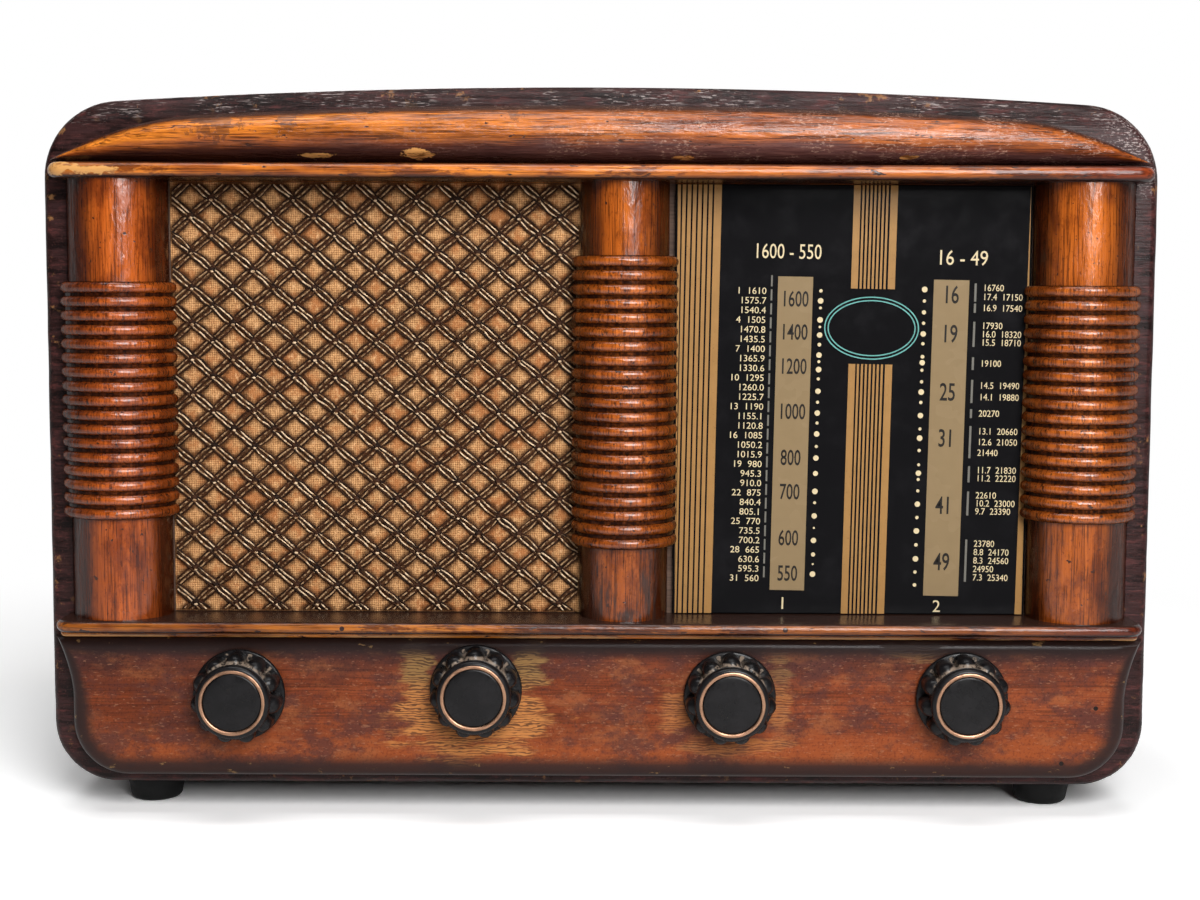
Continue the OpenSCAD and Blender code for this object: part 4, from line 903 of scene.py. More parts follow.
class RADIO_OT_bars(PieceOperator):
    """Upper bar, ledge and fillet: round-nosed strips across the front"""

    bl_idname = "radio.bars"
    bl_label = "Bars and fillet"

    def make(self, scene):
        cab, tints = scene.radio_cabinet, scene.radio_colours
        finish = bar_lacquer("bar lacquer", tints.orange, tints.bare)
        lift, reach, thin_reach = cab.ledge_lift, FRONT - BAR_LOW.y, FRONT - FILLET_LOW.y
        ends = cab.bar_corner, cab.tongue, False
        for name, node, *sizes in [
            ("upper_bar_wood", "upper_bar", BAR_LOW.z, BAR_HIGH.z, reach, BAR_HIGH.x, *ends),
            ("ledge_wood", "ledge_board", LEDGE_LOW.z + lift, LEDGE_HIGH.z, reach, LEDGE_HIGH.x, *ends),
            ("fillet_wood", "ledge_fillet", FILLET_LOW.z, FILLET_HIGH.z + lift * 0.7, thin_reach,
             FILLET_HIGH.x, 3 * MM, 0, True),
        ]:
            settle(nosed_bar(name, finish, *sizes), "cabinet", "orange_wood", node)


class RADIO_OT_board(PieceOperator):
    """Control board: flared upper ends, round lower corners and a rolled front edge"""

    bl_idname = "radio.board"
    bl_label = "Control board"

    def make(self, scene):
        cab, tints = scene.radio_cabinet, scene.radio_colours
        thick, e = FRONT - BOARD_LOW.y, cab.board_round
        # Each step gives inset, distance forward and how dark the roll is
        steps = [(0, 0, 0), (0, 3 * MM, 0), (0, thick - e, 0.6)]
        steps += [(e * (1 - math.cos(a)), thick - e + e * math.sin(a), 1)
                  for a in np.radians(np.linspace(10, 90, 9))]
        steps += [(e + 1.2 * MM, thick, 0.95), (e + 2.6 * MM, thick, 0.7), (e + 6 * MM, thick, 0)]
        rows = [upright(board_outline(cab, inset), FRONT - off) for inset, off, _ in steps]
        edge = [np.full(len(rows[0]), rolled) for *_, rolled in steps]
        finish = board_lacquer("board lacquer", tints.board, tints.bare)
        obj = mesh_object("board_wood", rows, capped(len(rows), len(rows[0])), finish, edge=edge)
        bores = []
        for control in CONTROLS:
            low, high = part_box(control + "_shaft")
            angles, bore_r = turns(30), 5 * MM
            tube = lathe(*seen_middle(low, high), FRONT, angles, [(bore_r, thick + MM), (bore_r, -MM)])
            cutter = mesh_object("bore", tube, capped(2, len(angles)), finish)
            cut = obj.modifiers.new("bore", "BOOLEAN")
            cut.object, cut.operation, cut.solver = cutter, "DIFFERENCE", "EXACT"
            bores.append(cutter)
        applied(obj)
        for cutter in bores:
            bpy.data.objects.remove(cutter)
        smoothed(obj.data)
        settle(obj, "cabinet", "board_wood", "control_board")


class NodeTree:
    """A geometry tree in the making, with named inputs."""

    def __init__(self, name, **inputs):
        self.tree = bpy.data.node_groups.new(name, "GeometryNodeTree")
        face = self.tree.interface
        face.new_socket("Geometry", in_out="INPUT", socket_type="NodeSocketGeometry")
        self.sockets = {}
        for key, kind in {**inputs, "Finish": "Material"}.items():
            made = face.new_socket(key.replace("_", " "), in_out="INPUT", socket_type="NodeSocket" + kind)
            self.sockets[key] = made.identifier
        face.new_socket("Geometry", in_out="OUTPUT", socket_type="NodeSocketGeometry")
        self.given = self.tree.nodes.new("NodeGroupInput").outputs

    def node(self, kind, settings=None, **sockets):
        """A node with its settings and its named sockets, given as values or as links."""
        made = self.tree.nodes.new(kind)
        for key, value in (settings or {}).items():
            setattr(made, key, value)
        for key, value in sockets.items():
            socket = made.inputs[key.replace("_", " ")]
            if isinstance(value, bpy.types.NodeSocket):
                self.tree.links.new(value, socket)
            else:
                socket.default_value = value
        return made

    def first(self, kind, settings=None, **sockets):
        """The first result of a new node."""
        return self.node(kind, settings, **sockets).outputs[0]

    def end(self, geometry):
        """Makes what was built real, smooth and finished."""
        real = self.first("GeometryNodeRealizeInstances", Geometry=geometry)
        soft = self.first("GeometryNodeSetShadeSmooth", Geometry=real)
        done = self.first("GeometryNodeSetMaterial", Geometry=soft, Material=self.given["Finish"])
        self.node("NodeGroupOutput", Geometry=done)
        return self

    def grow(self, obj, **values):
        """Runs the tree on an object and keeps its result as a plain mesh."""
        modifier = obj.modifiers.new(self.tree.name, "NODES")
        modifier.node_group = self.tree
        for key, value in values.items():
            modifier[self.sockets[key]] = value
        applied(obj)


def rings_tree():
    """Half-round beads stacked up a column: each is a small circle swept round a half circle."""
    t = NodeTree(
        "column rings", Rings="Int", Pitch="Float", Ring_radius="Float", Bead="Float", Start="Vector",
    )
    path = t.first(
        "GeometryNodeCurveArc", {"mode": "RADIUS"}, Resolution=72, Radius=t.given["Ring radius"],
        Start_Angle=math.pi, Sweep_Angle=math.pi,
    )
    loop = t.first("GeometryNodeCurvePrimitiveCircle", Resolution=16, Radius=t.given["Bead"])
    bead = t.first("GeometryNodeCurveToMesh", Curve=path, Profile_Curve=loop, Fill_Caps=True)
    rise = t.first("ShaderNodeCombineXYZ", Z=t.given["Pitch"])
    line = t.first(
        "GeometryNodeMeshLine", Count=t.given["Rings"], Start_Location=t.given["Start"], Offset=rise,
    )
    return t.end(t.first("GeometryNodeInstanceOnPoints", Points=line, Instance=bead))


def joined(obj, other):
    """Joins another mesh object into the first one, which takes its finish."""
    finish = other.data.materials[0]
    work = bmesh.new()
    work.from_mesh(obj.data)
    work.from_mesh(other.data)
    for face in work.faces:
        face.material_index = 0
    work.to_mesh(obj.data)
    work.free()
    obj.data.materials.clear()
    obj.data.materials.append(finish)
    bpy.data.objects.remove(other)
    obj.data.set_sharp_from_angle(angle=math.radians(SMOOTH_ANGLE))


class RADIO_OT_columns(PieceOperator):
    """Turned half columns: a plain shaft with a block of round rings at its middle"""

    bl_idname = "radio.columns"
    bl_label = "Turned columns"

    def make(self, scene):
        col, beads = scene.radio_columns, rings_tree()
        side = col.side_r, col.side_ring_r, col.side_rings
        centre = col.middle_r, col.middle_ring_r, col.middle_rings
        half_round = np.radians(np.linspace(180, 360, 73))
        for node, (shaft_r, ring_r, rings), tones in zip(COLUMNS, (side, centre, side), COLUMN_TONES):
            low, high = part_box(node)
            x, middle = seen_middle(low, high)
            stack, back_r = (rings - 1) * col.pitch / 2, shaft_r - 0.6 * MM
            finish = column_lacquer(node + " lacquer", scene.radio_colours.column, x, ring_r, *tones)
            steps = [(low.z, 0), (middle - stack - 2 * MM, 0), (middle - stack - 1 * MM, 1),
                     (middle + stack + 1 * MM, 1), (middle + stack + 2 * MM, 0), (high.z, 0)]
            rows = []
            for z, inside in steps:
                r = ring_r - col.groove if inside else shaft_r
                round_front = np.column_stack([x + r * np.cos(half_round), FRONT + r * np.sin(half_round)])
                flat_back = [(x + back_r, FRONT), (x + back_r, BAFFLE_FACE),
                             (x - back_r, BAFFLE_FACE), (x - back_r, FRONT)]
                rows.append(np.insert(np.concatenate([round_front, flat_back]), 2, z, axis=1))
            ringed = [np.full(len(rows[0]), inside) for _, inside in steps]
            shaft = mesh_object(node + "_shaft", rows, capped(len(rows), len(rows[0])), finish, ringed=ringed)
            column = linked(node + "_wood", [], [], [])
            beads.grow(column, Rings=rings, Pitch=col.pitch, Ring_radius=ring_r - col.bead, Bead=col.bead,
                       Start=(x, FRONT, middle - stack), Finish=finish)
            tidy_mesh(column)
            set_mark(column.data, "ringed", np.ones(len(column.data.vertices)))
            joined(column, shaft)
            settle(column, "cabinet", "column_wood", node)


# Step between a lattice cord's points, and how far it strays to the side
CORD_STEP = 1.25 * MM
CORD_WANDER = 0.7 * MM


def clipped(point, along, low, high):
    """The stretch of a line inside a rectangle, as its two distances, or None."""
    start, end = -1e9, 1e9
    for k in range(2):
        a, b = (low[k] - point[k]) / along[k], (high[k] - point[k]) / along[k]
        start, end = max(start, min(a, b)), min(end, max(a, b))
    return (start, end) if end - start > 2 * MM else None


def band_lines(cloth, down, offset, low, high, rise):
    """Points along every cord of one direction of bands, at an offset from the bands' middles."""
    p, q = cloth.across, cloth.upward
    sign = 1 if down else -1
    along = np.array([p, -sign * q]) / math.hypot(p, q)
    side = np.array([along[1], -along[0]])
    corners = [x / p + sign * z / q for x in (low[0], high[0]) for z in (low[1], high[1])]
    lines = []
    for k in range(math.floor(min(corners)) - 1, math.ceil(max(corners)) + 2):
        point = np.array([k * p, 0.0]) + side * offset
        found = clipped(point, along, low, high)
        if found is None:
            continue
        s = np.append(np.arange(*found, CORD_STEP), found[1])
        spine = point + s[:, None] * along
        crossing = 0.5 + 0.5 * np.cos(2 * math.pi * (spine[:, 0] / p - sign * spine[:, 1] / q))
        drawn = spine + side * (-0.2 * offset * crossing**4)[:, None]
        wander = np.array([noise.noise(Vector((a * 160, b * 160, offset * 900 + k))) for a, b in drawn])
        drawn = np.clip(drawn + side * (wander * CORD_WANDER)[:, None], low, high)
        lines.append(upright(drawn, CLOTH_LOW.y - (rise(crossing) + 0.2 * MM * wander)))
    return lines


def wire_object(name, lines):
    """A mesh of open lines."""
    starts = np.cumsum([0] + [len(line) for line in lines])
    edges = [(start + i, start + i + 1) for start, line in zip(starts.tolist(), lines)
             for i in range(len(line) - 1)]
    return linked(name, np.concatenate(lines), edges, [])


def cords_tree():
    """A round cord along every line of a mesh."""
    t = NodeTree("lattice cords", Radius="Float", Sides="Int")
    curves = t.first("GeometryNodeMeshToCurve", Mesh=t.given["Geometry"])
    loop = t.first("GeometryNodeCurvePrimitiveCircle", Resolution=t.given["Sides"], Radius=t.given["Radius"])
    return t.end(t.first("GeometryNodeCurveToMesh", Curve=curves, Profile_Curve=loop, Fill_Caps=True))


def knots_tree():
    """Small flattened beads at points, each turned and sized a little differently."""
    t = NodeTree("lattice knots", Radius="Float", Flat="Vector", Seed="Int")
    bead = t.first("GeometryNodeMeshIcoSphere", Radius=t.given["Radius"], Subdivisions=2)
    size = t.node("FunctionNodeRandomValue", {"data_type": "FLOAT"}, Seed=t.given["Seed"])
    size.inputs[2].default_value, size.inputs[3].default_value = 0.8, 1.15
    flat, places = t.given["Flat"], t.given["Geometry"]
    scale = t.first("ShaderNodeVectorMath", {"operation": "SCALE"}, Vector=flat, Scale=size.outputs[1])
    return t.end(t.first("GeometryNodeInstanceOnPoints", Points=places, Instance=bead, Scale=scale))


class RADIO_OT_cloth(PieceOperator):
    """Grille cloth: a tan weave with a raised lattice of paired cords tied in knots"""

    bl_idname = "radio.cloth"
    bl_label = "Grille cloth"

    def make(self, scene):
        cloth, tints = scene.radio_cloth, scene.radio_colours
        low, high = CLOTH_LOW, CLOTH_HIGH
        weave = self.weave(burlap("burlap", tints.cloth, cloth.across, cloth.upward))
        settle(weave, "cabinet", "grille_cloth", "grille_cloth")
        flat_low, flat_high = (low.x + MM, low.z + MM), (high.x - MM, high.z - MM)
        light, deep = tints.pale_cord, tints.dark_cord
        pale = cord_yarn("pale yarn", light, tinted(light, 0.34, (1, 0.76, 0.55)))
        dark = cord_yarn("dark yarn", deep, tinted(deep, 2.6, (1.2, 1, 0.8)))
        # Painted shade: a darker copy of the pale yarn for the cords of the lower bands
        dull = cord_yarn("shaded pale yarn", tinted(light, 0.6, (1, 0.85, 0.7)), tinted(deep, 4, (1.2, 1, 0.8)))
        cords, knots, pieces = cords_tree(), knots_tree(), []
        d, g, r = cloth.dark_gap, cloth.pale_gap, cloth.cord_r
        for name, down, offsets, finish, radius, rise in [
            ("cords_pale_down", True, (-g, g), pale, r, lambda c: (0.95 - 1.1 * c**3) * MM),
            ("cords_dark_down", True, (-d, d, 0), dark, r * 1.2, lambda c: (0.55 + 0.35 * c) * MM),
            ("cords_pale_up", False, (-g, g), dull, r, lambda c: (0.55 - 0.7 * c**2) * MM),
            ("cords_dark_up", False, (-d, d, 0), dark, r * 1.15, lambda c: (0.3 - 0.2 * c) * MM),
        ]:
            lines = []
            for offset in offsets:
                lines += band_lines(cloth, down, offset, flat_low, flat_high, rise)
            piece = wire_object(name, lines)
            cords.grow(piece, Radius=radius, Sides=6, Finish=finish)
            pieces.append(settle(piece, "cabinet", "grille_cloth"))
        places = self.crossings(cloth, flat_low, flat_high)
        for name, finish, radius, flat, right, up, out in [
            ("knots_dark", dark, cloth.knot, (1.25, 0.45, 1.0), 0.0, 0.25, 0.75),
            ("knots_pale", pale, cloth.knot * 0.5, (1.35, 0.7, 0.9), 0.1, -0.9, 1.2),
        ]:
            piece = wire_object(name, [[(x + right * MM, low.y - out * MM, z + up * MM)] for x, z in places])
            knots.grow(piece, Radius=radius, Flat=flat, Seed=cloth.seed, Finish=finish)
            pieces.append(settle(piece, "cabinet", "grille_cloth"))

    @staticmethod
    def weave(finish):
        """The cloth's ground: two layers half a millimetre apart, closed round their rim."""
        low, high = CLOTH_LOW, CLOTH_HIGH
        cols, rows = 77, 81
        points = []
        for y in (low.y, low.y + 0.5 * MM):
            for z in np.linspace(low.z, high.z, rows):
                for x in np.linspace(low.x, high.x, cols):
                    sag = 0.25 * MM * (0.5 + 0.5 * noise.noise(Vector((x * 40, 0, z * 40))))
                    points.append((x, y + sag, z))
        behind = rows * cols
        numbers = np.arange(behind).reshape(rows, cols)
        rim = [*numbers[0], *numbers[1:, -1], *numbers[-1, -2::-1], *numbers[-2:0:-1, 0]]
        faces = grid(rows, cols) + grid(rows, cols, start=behind)
        faces += [(a, b, b + behind, a + behind) for a, b in zip(rim, rim[1:] + rim[:1])]
        return mesh_object("cloth_weave", [points], faces, finish)

    @staticmethod
    def crossings(cloth, low, high):
        """Places where a band of one direction crosses one of the other."""
        p, q, margin = cloth.across, cloth.upward, 2 * MM
        spots = [(p * (k + m) / 2, q * (k - m) / 2) for k in range(-60, 60) for m in range(-60, 60)]
        return [(x, z) for x, z in spots
                if low[0] + margin < x < high[0] - margin and low[1] + margin < z < high[1] - margin]


DIAL_TURN = 0.0157
PRINT_RISE = 0.04 * MM


class Print:
    """Flat print on the dial's face, gathered shape by shape, in mm from the cabinet's middle."""

    def __init__(self, rise=PRINT_RISE):
        self.points, self.faces = [], []
        self.layers = GLASS_LOW.y - rise, GLASS_LOW.y + PRINT_RISE

    def shape(self, outline, *faces):
        """A flat shape, given anticlockwise as seen from the front, with its thickness."""
        n, start = len(outline), len(self.points)
        for y in self.layers:
            self.points += [(x * MM, y, z * MM) for x, z in outline]
        edges = {}
        for face in faces or [range(n)]:
            self.faces.append([start + i for i in face])
            self.faces.append([start + n + i for i in face][::-1])
            edges.update(((face[k - 1], face[k]), True) for k in range(len(face)))
        self.faces += [(start + a, start + n + a, start + n + b, start + b)
                       for a, b in edges if (b, a) not in edges]

    def bar(self, x0, x1, z0, z1):
        """A rectangle."""
        self.shape([(x0, z0), (x1, z0), (x1, z1), (x0, z1)])

    def dot(self, x, z, r):
        """A round dot."""
        self.shape([(x + r * math.cos(a), z + r * math.sin(a)) for a in turns(14)])

    def loop(self, outline, width):
        """A line of some width along a closed outline."""
        n = len(outline)
        ahead = np.roll(outline, -1, axis=0) - np.roll(outline, 1, axis=0)
        across = np.column_stack([ahead[:, 1], -ahead[:, 0]])
        across *= width / 2 / np.linalg.norm(across, axis=1)[:, None]
        quads = [(i, (i + 1) % n, n + (i + 1) % n, n + i) for i in range(n)]
        self.shape(np.concatenate([outline + across, outline - across]), *quads)

    def words(self, text, x, z, tall, wide=1.0, align="CENTER", weight=0.0):
        """Plain figures at a place, with a height and a share of their usual width."""
        curve = bpy.data.curves.new("figures", "FONT")
        curve.body, curve.align_x, curve.align_y = text, align, "CENTER"
        curve.size, curve.resolution_u, curve.offset = 1.0, 3, weight
        holder = bpy.data.objects.new("figures", curve)
        bpy.context.scene.collection.objects.link(holder)
        graph = bpy.context.evaluated_depsgraph_get()
        graph.update()
        mesh = bpy.data.meshes.new_from_object(holder.evaluated_get(graph), depsgraph=graph)
        size = tall / FIGURE_HEIGHT
        flat = [(x + v.co.x * size * wide, z + v.co.y * size) for v in mesh.vertices]
        self.shape(flat, *(list(face.vertices) for face in mesh.polygons))
        bpy.data.objects.remove(holder)
        bpy.data.curves.remove(curve)
        bpy.data.meshes.remove(mesh)

    def made(self, name, finish):
        """The print as a piece, turned a little with the glass as the real one is."""
        cx, cz = seen_middle(GLASS_LOW, GLASS_HIGH)
        x, y, z = np.array(self.points).T
        right = np.clip(x + (z - cz) * DIAL_TURN, GLASS_LOW.x + MM, GLASS_HIGH.x - MM)
        up = np.clip(z - (x - cx) * DIAL_TURN, GLASS_LOW.z + 0.2 * MM, GLASS_HIGH.z - 0.2 * MM)
        obj = mesh_object(name, [np.column_stack([right, y, up])], self.faces, finish, 20)
        settle(obj, "cabinet", "dial_glass")


class RADIO_OT_glass(PieceOperator):
    """Dial glass: a black plate with polished edges"""

    bl_idname = "radio.glass"
    bl_label = "Dial glass"

    def make(self, scene):
        low, high, edge = GLASS_LOW, GLASS_HIGH, 0.5 * MM
        rows = []
        for inset, y in [(edge, high.y), (0, high.y - edge), (0, low.y + edge), (edge, low.y)]:
            left, right, base, top = low.x + inset, high.x - inset, low.z + inset, high.z - inset
            rows.append([(left, y, base), (right, y, base), (right, y, top), (left, y, top)])
        finish = black_glass("black glass", scene.radio_colours.glass)
        obj = mesh_object("dial_plate", rows, capped(4, 4), finish, 20)
        settle(obj, "cabinet", "dial_glass", "dial_glass")


# Figures and marks of the dial, in mm: heights over the table, and the dots' radii
FIGURE_HEIGHT = 0.73
LEFT_FIGURES = [("1600", 243.9), ("1400", 228.4), ("1200", 212.3), ("1000", 191.0),
                ("800", 169.2), ("700", 153.0), ("600", 131.0), ("550", 114.1)]
RIGHT_FIGURES = [("16", 247.3), ("19", 229.0), ("25", 201.6), ("31", 179.8), ("41", 147.9), ("49", 121.0)]
LEFT_DOTS = [
    (248.3, 0.8), (243.6, 1.35), (240.3, 0.7), (234.7, 1.35), (231.4, 0.6), (227.6, 1.3),
    (223.1, 0.9), (218.2, 1.3), (215.1, 0.7), (211.4, 1.35), (207.0, 0.75), (201.2, 1.3),
    (196.0, 0.75), (190.9, 1.3), (186.2, 0.75), (181.0, 1.3), (175.1, 0.75), (169.6, 1.3),
    (162.3, 1.2), (153.8, 1.35), (148.4, 0.7), (142.1, 1.3), (136.4, 0.5), (130.4, 1.3),
    (123.7, 1.0), (119.1, 0.5), (114.3, 1.35),
]
RIGHT_DOTS = [
    (249.9, 1.35), (244.5, 0.8), (239.2, 1.0), (234.1, 0.8), (229.1, 1.3), (224.5, 0.8),
    (218.4, 0.9), (215.6, 1.3), (212.1, 0.75), (206.6, 0.8), (201.8, 1.35), (196.9, 0.8),
    (190.7, 1.3), (184.4, 0.75), (180.0, 1.35), (174.2, 0.8), (167.4, 0.7), (163.4, 1.3),
    (160.4, 0.75), (155.0, 0.75), (148.7, 1.3), (142.3, 0.8), (135.9, 1.35), (129.3, 0.85),
    (122.6, 1.35), (116.3, 0.8), (110.1, 0.85),
]
LEFT_BARS = [252.5 - i * 6.55 for i in range(22)]
LEFT_BAR_HALF = 2.6
RIGHT_BARS = [(253.2, 244.7), (243.8, 239.5), (235.3, 223.5), (218.6, 212.7), (208.0, 197.1), (194.2, 190.0),
              (186.2, 171.0), (167.2, 159.5), (155.2, 143.8), (132.3, 112.1)]
STRIPS = [(82.2, 98.6, 106.4, 254.7), (155.2, 171.8, 105.1, 254.6)]
STRIPE_TOP, STRIPE_LOW = 298.5, 94.5
STRIPE_GAP = 214.4, 249.7
OVAL_PLACE, OVAL_SIZE = (126.7, 231.3), (22, 14.5)
SMALL_FIGURE = 3.2
LEFT_ROWS, LEFT_ROW_TOP, LEFT_ROW_PITCH = 31, 247.6, 4.53
RIGHT_ROW_PITCH = 4.4


class RADIO_OT_dial(PieceOperator):
    """Dial print: gold stripes, number strips, dots, small figures and a plain oval"""

    bl_idname = "radio.dial"
    bl_label = "Dial print"

    def make(self, scene):
        tints = scene.radio_colours
        gold, strips, marks, bars, oval = (Print() for _ in range(5))
        figures = Print(PRINT_RISE * 2)
        for i in range(7):
            gold.bar(34.0 + 2.47 * i, 35.65 + 2.47 * i, STRIPE_LOW, STRIPE_TOP)
        gold.bar(51.3, 54.8, STRIPE_LOW, STRIPE_TOP)
        for low, high in ((STRIPE_LOW, STRIPE_GAP[0]), (STRIPE_GAP[1], STRIPE_TOP)):
            gold.bar(116.4, 119.6, low, high)
            for i in range(7):
                gold.bar(120.4 + 1.87 * i, 121.4 + 1.87 * i, low, high)
            gold.bar(133.6, 137.0, low, high)
        gold.bar(199.0, 203.0, STRIPE_LOW, STRIPE_TOP)
        gold.made("print_gold", glossy_print("gold ink", tints.gold, 0.28, 0.15, 0.3))
        for strip in STRIPS:
            strips.bar(*strip)
        strips.made("print_strips", glossy_print("strip ink", tints.strip, 0.22, 0.05))
        for column, x, tall, wide in ((LEFT_FIGURES, 90.4, 7.6, 0.62), (RIGHT_FIGURES, 163.4, 8.6, 0.66)):
            for text, z in column:
                figures.words(text, x, z, tall, wide, weight=0.01)
        figures.made("print_figures", glossy_print("dark ink", (0.02, 0.017, 0.015), 0.25))
        for column, x in ((LEFT_DOTS, 102.4), (RIGHT_DOTS, 151.0)):
            for z, r in column:
                marks.dot(x, z, r)
        for title in [("1600 - 550", 86.4, 266.0, 7.2, 0.74), ("16 - 49", 168.2, 264.6, 7.2, 0.86),
                      ("1", 88.5, 99.8, 6.0), ("2", 161.7, 99.8, 6.0)]:
            marks.words(*title)
        self.small_figures(marks)
        marks.made("print_marks", glossy_print("cream ink", tints.cream, 0.3, 0.1, 0.25))
        for z in LEFT_BARS:
            bars.bar(78.9, 79.7, z - LEFT_BAR_HALF, z + LEFT_BAR_HALF)
        for high, low in RIGHT_BARS:
            bars.bar(174.3, 175.3, low, high)
        bars.made("print_bars", glossy_print("grey ink", (0.16, 0.15, 0.13), 0.3, 0.15, 0.3))
        round_shape = np.column_stack([np.cos(turns(72)), np.sin(turns(72))])
        for drawn_in in (0, 1.6):
            oval.loop(OVAL_PLACE + round_shape * (OVAL_SIZE[0] - drawn_in, OVAL_SIZE[1] - drawn_in), 0.55)
        oval.made("print_oval", glossy_print("teal ink", (0.13, 0.36, 0.33), 0.3, 0.15, 0.3))

    @staticmethod
    def small_figures(marks):
        """Rows of small plain figures beside the strips."""
        for row in range(LEFT_ROWS):
            high = 1610 - row * 35
            text = f"{high}.{(row * 7) % 10}" if row % 3 else f"{row + 1}  {high}"
            marks.words(text, 77.0, LEFT_ROW_TOP - row * LEFT_ROW_PITCH, SMALL_FIGURE, 1.05, "RIGHT")
        line = 0
        for high, low in RIGHT_BARS:
            rows = max(1, round((high - low) / RIGHT_ROW_PITCH))
            for i in range(rows):
                number = f"{16760 + line * 390}"
                text = f"{17.9 - line * 0.48:.1f}  {number}" if line % 3 else number
                z = high - (i + 0.5) * (high - low) / rows
                marks.words(text, 178.3, z, SMALL_FIGURE, 0.9, "LEFT")
                line += 1


def smooth_max(a, b, blend):
    """The larger of two values, rounded where they meet."""
    h = np.clip(0.5 + 0.5 * (a - b) / blend, 0, 1)
    return b * (1 - h) + a * h + blend * h * (1 - h)


class RADIO_OT_knobs(PieceOperator):
    """Knobs: a round flange, a lobed grip, a round front rim and a channel for the ring"""

    bl_idname = "radio.knobs"
    bl_label = "Knobs"

    def make(self, scene):
        knob = scene.radio_knobs
        finish = moulding("knob moulding", scene.radio_colours.knob, (0.27, 0.205, 0.155))
        angles, pitch = turns(knob.lobes * 18), 2 * math.pi / knob.lobes
        off_lobe = (angles - math.pi / 2 + pitch / 2) % pitch - pitch / 2
        centre = knob.flange_r - 0.5 * MM - knob.lobe_r
        f, t, top, bore_deep = knob.flange_r, knob.flange_t, knob.depth * 0.52, 14 * MM

        def grip(h):
            """Radius round the grip at a height over the back, that height and how deep each gap is."""
            reach = math.sqrt(max(0, knob.lobe_r**2 - max(0, h - top) ** 2))
            half_chord = np.sqrt(np.clip(reach**2 - (centre * np.sin(off_lobe)) ** 2, 0, None))
            lobe = np.where(half_chord > 0, centre * np.cos(off_lobe) + half_chord, 0)
            r = np.full(len(angles), knob.grip_r)
            r = smooth_max(lobe, r, 0.9 * MM) if reach > 0 else r
            return r, h, np.clip((f - 1.5 * MM - r) / (3 * MM), 0, 1)

        def turned(*steps):
            """Plain round steps, each a radius and a height."""
            return [(r, h, 0) for r, h in steps]

        foot = t + 0.15 * MM
        steps = turned((0.0, bore_deep), (knob.bore, bore_deep), (knob.bore, 0.0), (f - 0.9 * MM, 0.0))
        steps += turned(*((f - t / 2 + t / 2 * math.cos(a), t / 2 + t / 2 * math.sin(a))
                          for a in np.radians(np.linspace(-70, 70, 9))))
        steps.append((f - 1.6 * MM, t, grip(foot)[2]))
        dome = top + knob.lobe_r * np.sin(np.radians([15, 30, 45, 58, 70, 80, 87]))
        steps += [grip(h) for h in (foot, *np.linspace(t + 0.6 * MM, top, 6), *dome)]
        rim, d, round_r, round_h = knob.rim_r, knob.depth, 2.1 * MM, 2.5 * MM
        steps.append((knob.grip_r, d - 4.9 * MM, 0.3))
        steps += turned(*((rim - round_r + round_r * math.cos(a), d - round_h + round_h * math.sin(a))
                          for a in np.radians(np.linspace(-60, 90, 13))))
        out, into = knob.ring_outer + 0.1 * MM, knob.ring_inner - 0.1 * MM
        steps += turned(
            (out + 0.15 * MM, d - 0.05 * MM), (out, d - 0.2 * MM), (out, d - 1.5 * MM), (into, d - 1.5 * MM),
            (into, d - 0.9 * MM), (into - 0.35 * MM, d - 0.45 * MM), (into - 0.9 * MM, d - 0.3 * MM),
            (into - 4 * MM, d - 0.3 * MM), (0.0, d - 0.3 * MM),
        )
        gaps = [gap * (0.35 + 0.65 * np.clip(np.sin(angles), 0, 1)) for *_, gap in steps]
        faces = grid(len(steps), len(angles), close_cols=True)
        for control in CONTROLS:
            low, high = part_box(control + "_knob")
            rows = lathe(*seen_middle(low, high), high.y, angles, [step[:2] for step in steps])
            obj = mesh_object(control + "_knob_moulding", rows, faces, finish, 50, gap=gaps)
            settle(obj, control, "bakelite", control + "_knob")


class RADIO_OT_rings(PieceOperator):
    """Copper rings: thin rounded bands let into the knobs' fronts"""

    bl_idname = "radio.rings"
    bl_label = "Copper rings"

    def make(self, scene):
        inner, outer = scene.radio_knobs.ring_inner, scene.radio_knobs.ring_outer
        finish = metal("ring copper", scene.radio_colours.copper, 0.34, 0.7, 160)
        half, edge, sides = (outer - inner) / 2, 0.5 * MM, 96
        for control in CONTROLS:
            low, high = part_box(control + "_ring")
            deep = high.y - low.y
            profile = [(inner, 0), (outer, 0)]
            profile += [(inner + half + half * math.cos(a), deep - edge + edge * math.sin(a))
                        for a in np.radians(np.linspace(0, 180, 9))]
            rows = lathe(*seen_middle(low, high), high.y, turns(sides), profile)
            faces = grid(len(profile), sides, close_rows=True, close_cols=True)
            obj = mesh_object(control + "_ring_copper", rows, faces, finish, 45)
            settle(obj, control, "copper", control + "_ring")


